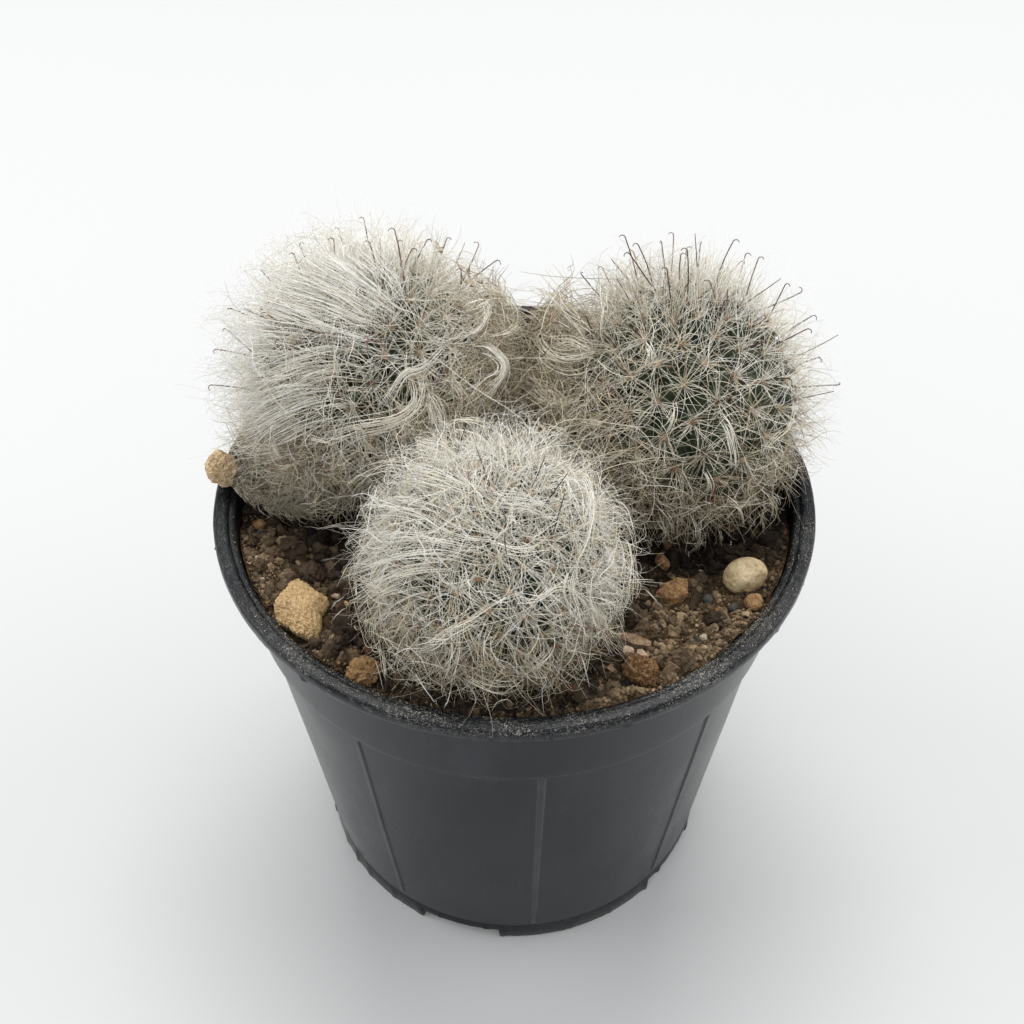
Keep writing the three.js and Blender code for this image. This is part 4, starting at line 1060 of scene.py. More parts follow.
def on_block(px, py, k):
    c, s, yaw = BLOCKS[k]
    d = ray(px, py)
    ca, sa = math.cos(-yaw), math.sin(-yaw)
    M = np.array([[ca, -sa, 0], [sa, ca, 0], [0, 0, 1.0]]) / s[:, None]
    o, e = M @ (CAM - c), M @ d
    a, b, g = e @ e, o @ e, o @ o - 1
    t = (-b - math.sqrt(max(b * b - a * g, 0))) / a
    return CAM + t * d


PEBBLES = [(745, 615, 1.5, "o"), (750, 609, 0.9, "t"), (678, 620, 1.1, "t"), (696, 626, 1.2, "o"), (671, 659, 1.5, "w"), (289, 558, 0.8, "w"), (255, 557, 0.8, "w"), (250, 563, 0.6, "t"),
           (684, 640, 0.7, "t"), (720, 600, 0.8, "t"), (655, 700, 0.9, "t"), (300, 655, 1.0, "o"), (318, 664, 1.2, "t"), (330, 645, 0.9, "o"), (268, 602, 0.9, "t"), (262, 580, 1.1, "o"),
           (627, 651, 1.9, "o"), (641, 655, 2.1, "o"), (662, 585, 1.0, "o"), (336, 596, 1.4, "o"), (345, 604, 1.1, "t"), (705, 655, 0.8, "w"), (612, 668, 1.3, "o"), (764, 585, 0.8, "t")]


def build_pebbles():
    rg = np.random.default_rng(88)
    for kind, mat, slot_name, title in (("w", WHITE, "pale_stone", "pale_pebbles"), ("t", TAN, "tan_stone", "tan_pebbles"), ("o", PINK, "brown_stone", "pinkish_pebbles")):
        Vs, Fs, base = [], [], 0
        for j, (px, py, size, k) in enumerate(PEBBLES):
            if k != kind:
                continue
            if (px, py) in ((627, 651), (641, 655)):
                at = on_block(px, py, list(STONE_SPEC).index("rusty_clod"))
            else:
                at = on_soil(px, py, size * 0.18)
            V, F = chunk(unit(rg.normal(size=(11, 3))) * size / 2 * rg.uniform(0.8, 1.2, 3) * np.array([1.25, 1.0, 0.75]), 300 + j, 3, 0.04 * size)
            V = V + at
            Vs.append(V)
            Fs.append(F + base)
            base += len(V)
        make_mesh(title, np.concatenate(Vs), np.concatenate(Fs), mat, smooth=True, sharp=30)


build_pebbles()

# ------------------------------------------------------------------ green bodies
def flesh_material():
    m = Mat("cactus_flesh_mat", 0.5, 0.4)
    n1 = m.noise(160.0, 4.0, 0.6)
    n2 = m.noise(1500.0, 3.0, 0.6)
    colour = m.ramp(n1, [(0.3, srgb(26, 34, 20)), (0.55, srgb(44, 56, 32)), (0.8, srgb(70, 82, 48))])
    colour = m.mix(m.span(n2, 0.55, 0.75, 0.0, 0.4), colour, srgb(104, 114, 76))
    z = m.xyz()["Z"]
    colour = m.mix(m.span(z, 0.094, 0.082, 0.0, 0.8), colour, srgb(72, 60, 42))
    return m.out(colour, m.span(n2, 0.3, 0.7, 0.42, 0.62), m.bump(n2, 0.3, 0.0001))


FLESH = flesh_material()


def build_stem(h):
    V, F = ICO[7]
    D = V
    dots = D @ h["local"].T
    order = dots.argmax(1)
    ang = np.arccos(np.clip(dots[np.arange(len(D)), order], -1, 1))
    x = ang / h["half"][order]
    depth = 3.4 * np.clip(0.70 * x**1.7, 0, 1)
    R = h["R"] - depth
    noise = Perlin(h["seed"])
    R = R + 0.18 * noise(D * 7)
    theta = np.arccos(np.clip(D[:, 2], -1, 1))
    neck = np.minimum(h["R"] + 9.5, 4.6 / np.maximum(np.sin(theta), 0.06))
    neck = np.where(D[:, 2] < -0.5, neck, 0)
    R = np.where(neck > 0, np.maximum(R, neck + 0.5 * noise(D * 9)), R)
    P = h["c"] + (D * R[:, None]) @ h["rot"].T
    return make_mesh("body_" + h["key"], P, F, FLESH, (h["node"],))


for key, h in HEADS.items():
    h["key"] = key
    build_stem(h)

# ------------------------------------------------------------------ hair, spines and areoles
# Tints run from white to brown; the second list is the colour at the root.
TIPS = [(250, 249, 244), (244, 241, 232), (236, 232, 219), (227, 221, 204), (216, 208, 188), (203, 193, 169), (187, 175, 149), (166, 152, 124),
        (136, 119, 93), (104, 84, 64), (122, 72, 54), (78, 62, 54), (221, 203, 171), (240, 234, 216), (206, 204, 196), (170, 166, 156)]
ROOTS = [(216, 200, 168), (214, 194, 160), (210, 188, 152), (204, 180, 142), (196, 170, 132), (184, 156, 118), (166, 140, 104), (144, 120, 88),
         (120, 98, 72), (92, 70, 52), (108, 62, 44), (82, 60, 48), (204, 172, 128), (218, 200, 168), (190, 178, 158), (156, 148, 132)]
NT = len(TIPS)
HAIR = strand_material("cactus_hair_mat", TIPS, ROOTS, 0.16, roughness=0.42, specular=0.4)
HOOK_TIPS = [(62, 46, 42), (80, 60, 52), (98, 74, 62), (122, 96, 78), (58, 48, 48), (76, 66, 60), (140, 116, 94), (46, 38, 38), (104, 50, 42), (88, 44, 46)]
HOOK_ROOTS = [(140, 108, 80), (150, 116, 86), (158, 124, 94), (166, 136, 106), (126, 98, 76), (142, 116, 92), (172, 144, 116), (112, 86, 66), (150, 92, 62), (132, 76, 60)]
HOOK = strand_material("hooked_spine_mat", HOOK_TIPS, HOOK_ROOTS, 0.45, roughness=0.38, specular=0.45)
FELT = [(188, 160, 128), (178, 148, 116), (198, 172, 140), (168, 138, 106), (152, 122, 94), (208, 186, 156), (134, 106, 82), (186, 164, 138)]
FELT_MAT = strand_material("areole_felt_mat", FELT, [tuple(int(c * 0.8) for c in t) for t in FELT], 0.8, roughness=0.9, specular=0.1)


def frames_at(N):
    ref = np.where(np.abs(N[:, 2:3]) < 0.95, np.array([[0, 0, 1.0]]), np.array([[1.0, 0, 0]]))
    T1 = unit(np.cross(ref, N))
    return T1, np.cross(N, T1)


FLOW = {
    # photograph pixel, direction in it (right, down); its length is how strongly the coat is combed there
    "left": [(300, 290, -0.85, -0.5), (340, 270, -0.6, -0.8), (260, 320, -0.95, -0.25), (330, 330, -0.85, -0.5), (360, 300, -0.7, -0.7), (310, 260, -0.6, -0.8),
             (245, 370, -1, 0.0), (250, 420, -0.95, 0.3), (300, 380, -0.95, 0.1), (290, 440, -0.9, 0.4), (260, 480, -0.8, 0.5), (240, 450, -0.9, 0.4),
             (350, 380, -0.3, 0.0), (380, 360, 0.0, 0.0), (410, 340, 0.0, 0.0), (345, 415, -0.4, 0.3), (385, 262, -0.2, -0.7), (418, 262, 0.05, -0.7),
             (460, 280, 0.3, -0.5), (450, 320, 0.3, -0.1), (490, 340, 0.5, 0.3), (470, 390, 0.2, 0.5), (430, 400, 0.1, 0.4), (400, 430, -0.2, 0.5),
             (365, 460, -0.5, 0.4), (320, 490, -0.6, 0.4), (400, 470, 0.1, 0.5)],
    "right": [(560, 350, -0.8, 0.1), (575, 300, -0.5, -0.5), (550, 410, -0.6, 0.4), (600, 270, -0.2, -0.6), (680, 270, 0, -0.7), (760, 280, 0.2, -0.6),
              (800, 330, 0.4, -0.3), (815, 400, 0.4, 0), (800, 460, 0.3, 0.3), (740, 520, 0.1, 0.5), (660, 520, 0, 0.5), (600, 480, -0.2, 0.4), (690, 400, 0, 0), (640, 430, 0, 0), (740, 430, 0, 0)],
    "front": [(370, 500, -0.9, 0.1), (420, 480, -0.8, -0.3), (460, 505, -0.7, -0.2), (400, 550, -0.9, -0.05), (450, 560, -0.4, 0.05), (380, 620, -0.6, 0.3),
              (430, 630, -0.3, 0.2), (480, 620, 0.0, 0.0), (590, 500, 0.3, 0.5), (600, 560, 0.0, 0.6), (590, 620, 0.0, 0.6), (540, 460, 0.3, -0.5),
              (470, 445, -0.4, -0.5), (560, 650, 0.2, 0.5), (500, 685, 0, 0.7), (430, 690, -0.2, 0.6), (540, 540, 0.0, 0.0), (520, 580, 0.0, 0.0)],
}
for key, h in HEADS.items():
    Q, D = [], []
    for px, py, dx, dy in FLOW[key]:
        q = on_sphere(px, py, h["c"], h["R"] + 4)
        n = unit(q - h["c"])
        w = dx * RIGHT - dy * UP
        w = unit(w - (w @ n) * n) * math.hypot(dx, dy)
        Q.append(q)
        D.append(w)
    h["flow_q"], h["flow_d"] = np.array(Q), np.array(D)
    h["curl"] = Perlin(h["seed"] + 100)


def comb(h, P, reach=8.0):
    """The lie of the hair at P: along the surface, length up to 1."""
    shape = P.shape
    P = P.reshape(-1, 3)
    d2 = ((P[:, None] - h["flow_q"][None]) ** 2).sum(-1)
    w = np.exp(-d2 / (2 * reach**2))
    v = (w[..., None] * h["flow_d"][None]).sum(1)
    n = unit(P - h["c"])
    # elsewhere it falls away from the crown
    away = h["axis"] * -1.0 - (n @ -h["axis"])[:, None] * n
    v = v + 0.3 * away * np.exp(-w.sum(-1, keepdims=True))
    v = v - (v * n).sum(-1, keepdims=True) * n
    return (v / np.maximum(w.sum(-1, keepdims=True), 0.6)).reshape(shape)


def taper(r0, K, tip=0.25, power=1.0):
    t = np.linspace(0, 1, K) ** power
    return np.asarray(r0)[:, None] * (1 - (1 - tip) * t)[None]


def grow(h, root, d0, length, K, lie=0.0, lift=0.0, wave=0.0, wavelength=4.0, drop=0.0, swirl=0.0, stray=0.0, env=None, rg=None, held=2, scale=7.0):
    """Hairs that start along d0 and are turned, step by step, by the lie of the coat, gravity and their own waves."""
    S = len(root)
    P = np.zeros((S, K, 3))
    P[:, 0] = root
    d = unit(d0)
    ds = (np.broadcast_to(length, (S,)) / (K - 1))[:, None]
    ph = rg.random((S, 2)) * 2 * math.pi
    fr = (2 * math.pi / (np.broadcast_to(wavelength, (S,)) * rg.uniform(0.7, 1.4, S)))[:, None]
    side = unit(np.cross(d, rg.normal(size=(S, 3))))
    own = stray * rg.normal(size=(S, 3))
    lie = np.broadcast_to(lie, (S,))[:, None]
    lift = np.broadcast_to(lift, (S,))[:, None]
    for k in range(1, K):
        p = P[:, k - 1]
        n = unit(p - h["c"])
        turn = own * ds
        v = comb(h, p)
        turn = turn + lie * (v - (v * d).sum(-1, keepdims=True) * d) * ds + lift * n * ds
        if swirl:
            v = h["curl"].vec(p / scale)
            v = v - (v * n).sum(-1, keepdims=True) * n
            turn = turn + swirl * v * ds
        turn = turn + drop * np.array([0, 0, -1.0]) * ds
        d = unit(d + turn)
        if wave:
            s1 = unit(side - (side * d).sum(-1, keepdims=True) * d)
            s2 = np.cross(d, s1)
            arc = ds * k
            w = wave * (np.cos(arc * fr + ph[:, :1]) * s1 + 0.7 * np.cos(arc * fr * 0.83 + ph[:, 1:]) * s2)
            nxt = p + unit(d + w) * ds
        else:
            nxt = p + d * ds
        if env is not None:
            v = nxt - h["c"]
            r = np.linalg.norm(v, axis=-1, keepdims=True)
            nxt = np.where(r > env, h["c"] + v / r * (env + 0.25 * (r - env)), nxt)
        if k >= held:
            nxt = clear(nxt, own=h["key"])
        P[:, k] = nxt
    return P


def gathered(P, rg, size, pull, start=0.2):
    """Draws neighbouring hairs together towards their tips, so that about size of them make a lock."""
    S, K, _ = P.shape
    G = P[rg.choice(S, max(1, int(S / size)), replace=False)]
    key = lambda Q: np.concatenate([Q[:, 1], Q[:, K // 2], 0.7 * Q[:, -1]], 1)
    a, b = key(P), key(G)
    near = ((a**2).sum(1)[:, None] - 2 * a @ b.T + (b**2).sum(1)[None]).argmin(1)
    t = np.clip((np.linspace(0, 1, K) - start) / (1 - start), 0, 1)[None, :, None]
    own = (pull * rg.uniform(0.45, 1.15, S))[:, None, None]
    return P + np.clip(own, 0, 0.93) * t * (G[near] - P)


def tone_at(h, i, rg, base, age_k, warm_k, sd):
    """Whiter where the coat is young, browner with age and in patches; browner on the lower side and on the side turned
    to the other globes, partly older hair and partly painted shade.
    """
    n = h["dirs"][i]
    age = step(50, 125, h["theta"][i])
    patch = h["curl"](n * 2.3 + 5)
    # painted shade, in part: the hair is browner on the lower side and on the side turned to the other globes
    if h["key"] == "left":
        side = np.clip((n[:, 0] + 0.35) / 1.2, 0, 1) - 0.8 * np.clip(-n[:, 0] - 0.1, 0, 1) + 1.7 * step(-0.25, -0.65, n @ UP)
    elif h["key"] == "right":
        side = np.clip((-n[:, 0] - 0.1) / 0.8, 0, 1) + 0.8 * step(-0.1, -0.7, n @ UP)
    else:
        side = 1.3 * step(0.10, -0.75, n @ UP)
    return base + age_k * age + warm_k * side + 1.6 * patch + rg.normal(0, sd, len(i))


def spray(h, rg, to, idx, n, length, el, K, radius, tone, tip=0.24, start=0.35, odd=((0.06, 13), (0.03, 12), (0.02, 8), (0.03, 14)), env=None, power=1.0, bias=0.0, even=0.5, lock=None, **kw):
    """n hairs round every areole of idx; el gives the angle above the skin from the areole's distance to the crown and a random number."""
    N = h["dirs"]
    T1, T2 = frames_at(N)
    i = np.repeat(idx, n)
    m = len(i)
    phi = (np.tile(np.arange(n), len(idx)) * 0.618034 * n + rg.uniform(-even, even, m)) * 2 * math.pi / n + rg.random(len(N))[i] * 6.28
    e = np.radians(el(h["theta"][i], rg.random(m)))
    flat = np.cos(phi)[:, None] * T1[i] + np.sin(phi)[:, None] * T2[i]
    root = h["c"] + N[i] * (h["R"] - 0.15) + start * flat * rg.random(m)[:, None]
    if bias:
        flat = unit(flat + bias * comb(h, root))
    d = np.cos(e)[:, None] * flat + np.sin(e)[:, None] * N[i]
    L = rg.uniform(*length, m)
    if env is not None:
        env = h["env"] + rg.uniform(*env, m)[:, None]
        if h["key"] == "left":
            env = env + 3.0 * np.clip((-N[i][:, :1] - 0.15) / 0.5, 0, 1)
    P = grow(h, root, d, L, K, env=env, rg=rg, **kw)
    if lock:
        P = gathered(P, rg, *lock)
    t = np.clip(np.round(tone_at(h, i, rg, *tone)), 0, 8).astype(int)
    o = rg.random(m)
    at = 0.0
    for share, k in odd:
        t = np.where((o >= at) & (o < at + share), k, t)
        at += share
    to.add(P, taper(rg.uniform(*radius, m), K, tip, power), t)


def lean(lo, hi, power):
    """Angle above the skin: steeper at the crown."""
    return lambda th, u: np.interp(th, *lo) + (np.interp(th, *hi) - np.interp(th, *lo)) * u**power


ODD = ((0.06, 13), (0.04, 12), (0.03, 8), (0.03, 14), (0.012, 10))


def coat(key):
    h = HEADS[key]
    rg = np.random.default_rng(h["seed"] * 7)
    alive = (h["c"] + h["dirs"] * h["R"])[:, 2] > 80.5
    idx = np.where(alive)[0]
    star, fine, wool = Strands(), Strands(), Strands()
    crown = ([0, 25, 50, 90, 140], [40, 26, 10, 6, 2])
    high = ([0, 30, 60, 100, 140], [89, 87, 80, 66, 50])
    scr = h["dirs"] @ np.stack([RIGHT, UP, -FWD], 1)
    if key == "right":
        spray(h, rg, star, idx, 21, (4.8, 8.6), lean(crown, high, 1.45), 6, (0.048, 0.080), (2.0, 3.6, 1.8, 1.8), even=3, bias=0.18, wave=0.05, lie=0.05, stray=0.07, odd=ODD)
        spray(h, rg, fine, idx, 5, (7.5, 12.0), lean(crown, high, 0.9), 7, (0.044, 0.068), (2.2, 3.6, 2.0, 1.8), even=3, bias=0.5, lie=0.07, wave=0.14, wavelength=7.0, stray=0.10, odd=ODD, lock=(5, 0.5))
        spray(h, rg, wool, idx, 5, (9.0, 14.5), lean(crown, high, 1.0), 10, (0.042, 0.066), (2.2, 3.4, 2.4, 1.8), even=3, bias=0.7, lie=0.10, wave=0.26, wavelength=5.5, drop=0.05, stray=0.14,
              env=(-1.5, 2.0), lock=(5, 0.6))
        low = idx[h["theta"][idx] > 78]
        spray(h, rg, wool, low, 7, (8.5, 13.5), lean(([0, 140], [20, 6]), ([0, 140], [72, 54]), 1.0), 10, (0.048, 0.074), (2.8, 1.8, 2.4, 1.8), even=3, bias=0.5, lie=0.06, wave=0.24,
              wavelength=6.0, drop=0.07, stray=0.17, env=(-0.5, 2.5), lock=(5, 0.55))
        near = idx[(scr[idx, 0] < -0.30) & (h["theta"][idx] < 118)]
        spray(h, rg, wool, near, 16, (10.0, 17.0), lean(([0, 140], [8, 4]), ([0, 140], [66, 54]), 1.0), 12, (0.048, 0.076), (3.2, 1.6, 1.6, 2.0), even=3, bias=0.9, lie=0.03, swirl=0.10, wave=0.24,
              wavelength=8.0, stray=0.16, drop=0.03, env=(-1.5, 4.5), lock=(7, 0.75))
    if key == "left":
        combed = np.linalg.norm(comb(h, h["c"] + h["dirs"] * h["R"]), axis=-1)
        swept = idx[(combed[idx] > 0.5) & (scr[idx, 0] < 0.15)]
        open_ = np.setdiff1d(idx, swept)
        spray(h, rg, star, open_, 22, (4.8, 8.2), lean(crown, high, 1.35), 6, (0.048, 0.080), (0.8, 2.6, 1.6, 1.6), even=3, bias=0.35, lie=0.05, wave=0.09, stray=0.05, odd=ODD)
        spray(h, rg, star, swept, 7, (4.8, 7.4), lean(crown, high, 1.3), 5, (0.056, 0.086), (1.0, 2.8, 1.8, 1.4), even=3, bias=0.8, lie=0.06, wave=0.08, stray=0.05)
        spray(h, rg, fine, idx, 11, (9.0, 15.0), lean(([0, 140], [12, 6]), ([0, 140], [66, 50]), 1.0), 8, (0.052, 0.082), (0.6, 2.8, 2.0, 1.5), even=3, bias=1.1, lie=0.07, lift=0.01,
              wave=0.12, wavelength=8.0, stray=0.10, env=(-1.0, 2.6), lock=(6, 0.65))
        # long, straight and swept one way on the side turned to the left
        spray(h, rg, fine, swept, 16, (13.0, 22.0), lean(([0, 140], [8, 4]), ([0, 140], [44, 38]), 1.1), 9, (0.054, 0.088), (-0.6, 2.6, 1.6, 1.2), even=3, bias=3.2, lie=0.06, lift=0.004,
              wave=0.06, wavelength=11.0, stray=0.06, env=(-1.2, 4.2), lock=(8, 0.76))
        spray(h, rg, fine, swept, 3, (13.0, 21.0), lean(([0, 140], [20, 12]), ([0, 140], [66, 56]), 1.0), 10, (0.030, 0.046), (-0.6, 2.0, 1.4, 1.0), even=3, bias=2.2, lie=0.05, lift=0.015,
              wave=0.12, wavelength=9.0, stray=0.12, env=(2.0, 7.5))
        spray(h, rg, wool, idx, 6, (13.0, 21.0), lean(([0, 140], [12, 8]), ([0, 140], [60, 46]), 1.0), 12, (0.048, 0.076), (1.0, 2.6, 1.8, 1.4), even=3, bias=1.1, lie=0.08, swirl=0.05,
              wave=0.20, wavelength=9.0, drop=0.015, stray=0.12, env=(-2.0, 2.2), power=1.5, lock=(6, 0.65))
        low = idx[(scr[idx, 0] < -0.05) & (scr[idx, 1] < -0.05)]
        spray(h, rg, wool, low, 14, (10.0, 15.5), lean(([0, 140], [6, 6]), ([0, 140], [66, 60]), 1.0), 10, (0.050, 0.078), (2.8, 1.4, 1.6, 1.6), even=3, bias=0.9, lie=0.05, wave=0.20, swirl=0.06,
              wavelength=7.0, stray=0.15, drop=0.01, env=(-0.5, 4.0), lock=(6, 0.6))
        near = idx[(scr[idx, 0] > 0.30) & (h["theta"][idx] < 118)]
        spray(h, rg, wool, near, 17, (10.0, 17.0), lean(([0, 140], [8, 4]), ([0, 140], [66, 54]), 1.0), 12, (0.048, 0.076), (3.2, 1.5, 1.2, 2.0), even=3, bias=0.7, swirl=0.13, wave=0.26,
              wavelength=8.0, stray=0.20, drop=0.03, env=(-1.5, 4.5), lock=(7, 0.75))
    if key == "front":
        spray(h, rg, star, idx, 18, (4.4, 7.2), lean(([0, 140], [8, 4]), ([0, 140], [54, 42]), 1.3), 6, (0.046, 0.076), (1.2, 2.6, 1.8, 1.6), even=3, bias=0.25, lie=0.05, wave=0.10, stray=0.06)
        spray(h, rg, fine, idx, 9, (8.5, 15.0), lean(([0, 140], [8, 5]), ([0, 140], [60, 50]), 1.0), 9, (0.044, 0.072), (1.1, 2.8, 2.0, 1.7), even=3, bias=0.8, lie=0.07, swirl=0.06,
              wave=0.14, wavelength=8.0, stray=0.13, env=(-1.8, 2.2), scale=5.0, lock=(6, 0.65))
        spray(h, rg, wool, idx, 6, (11.0, 19.0), lean(([0, 140], [6, 4]), ([0, 140], [48, 42]), 1.0), 13, (0.044, 0.070), (1.3, 2.8, 2.2, 1.7), even=3, bias=0.8, lie=0.07, swirl=0.08,
              wave=0.16, wavelength=10.0, drop=0.01, stray=0.15, env=(-2.4, 0.8), scale=5.0, power=1.5, lock=(6, 0.7))
        low = idx[(h["theta"][idx] > 70) & (scr[idx, 1] < 0.1)]
        spray(h, rg, wool, low, 4, (10.0, 17.0), lean(([0, 140], [8, 5]), ([0, 140], [66, 58]), 1.0), 12, (0.046, 0.072), (2.8, 2.0, 2.4, 1.8), even=3, bias=0.3, swirl=0.10,
              wave=0.22, wavelength=7.0, drop=0.03, stray=0.24, env=(-1.4, 2.2), scale=5.0, power=1.5, lock=(5, 0.55))
    # the young crown, where new hair stands up close together
    m = {"left": 280, "right": 215, "front": 225}[key]
    th = np.radians(34 * np.sqrt(rg.random(m)))
    az = rg.random(m) * 6.283
    n = np.stack([np.sin(th) * np.cos(az), np.sin(th) * np.sin(az), np.cos(th)], -1) @ h["rot"].T
    flat = unit(np.cross(n, rg.normal(size=(m, 3))) + 0.6 * comb(h, h["c"] + n * h["R"]))
    e = np.radians(rg.uniform(20 if key == "front" else 28, 66 if key == "front" else 84, m))[:, None]
    d = np.cos(e) * flat + np.sin(e) * n
    P = grow(h, h["c"] + n * (h["R"] - 1.2), d, rg.uniform(6.0, 9.5, m) * {"left": 1.1, "right": 1.0, "front": 0.85}[key], 6, lie=0.06, wave=0.10, wavelength=7.0, stray=0.05, rg=rg)
    P = gathered(P, rg, 5, 0.5)
    fine.add(P, taper(rg.uniform(0.052, 0.080, m), 6, 0.25), np.clip(np.round(rg.normal(1.0, 1.2, m)), 0, 6).astype(int))
    # a few stray wisps far out, which soften the outline
    spray(h, rg, fine, idx, 2, (9.5, 14.0), lean(([0, 140], [30, 15]), ([0, 140], [85, 70]), 1.0), 9, (0.028, 0.042), (1.0, 2.0, 1.5, 1.4), even=3, bias=0.6, lie=0.05, lift=0.02,
          wave=0.18, wavelength=8.0, stray=0.07)
    return star, fine, wool


def split(strands, name):
    """Makes pieces of under about 190,000 triangles."""
    pending, k = Strands(strands.sides), 0
    for P, R, tint in strands.parts:
        cost = 2 * strands.sides * (P.shape[1] - 1) + 2 * (strands.sides - 2)
        at = 0
        while at < len(P):
            room = max(0, int((190000 - pending.count) // cost))
            if room < 50:
                pending.build(f"{name}_{chr(97 + k)}", HAIR, "cactus", NT)
                pending, k = Strands(strands.sides), k + 1
                room = 190000 // cost
            n = min(room, len(P) - at)
            pending.add(P[at:at + n], R[at:at + n], tint[at:at + n])
            at += n
    if pending.count:
        pending.build(f"{name}_{chr(97 + k)}", HAIR, "cactus", NT)


for key in HEADS:
    star, fine, wool = coat(key)
    split(star, f"star_spines_{key}")
    split(fine, f"fine_hair_{key}")
    split(wool, f"wool_{key}")


# locks of wool drawn one by one: head, number of hairs, half width, height of the middle over the skin, tint, then photograph pixels
def pixels(x0, y0, k, pts):
    return [(x0 + x / k, y0 + y / k) for x, y in pts]


def L_(pts):
    return pixels(205, 215, 4.75, pts)


def R_(pts):
    return pixels(515, 220, 4.61, pts)


def F_(pts):
    return pixels(335, 410, 4.9, pts)


def M_(pts):
    return pixels(215, 225, 5.6, pts)


def N_(pts):
    return pixels(470, 260, 6.0, pts)


def S_(pts):
    return pixels(335, 410, 3.125, pts)


def T_(pts):
    return pixels(515, 220, 3.125, pts)


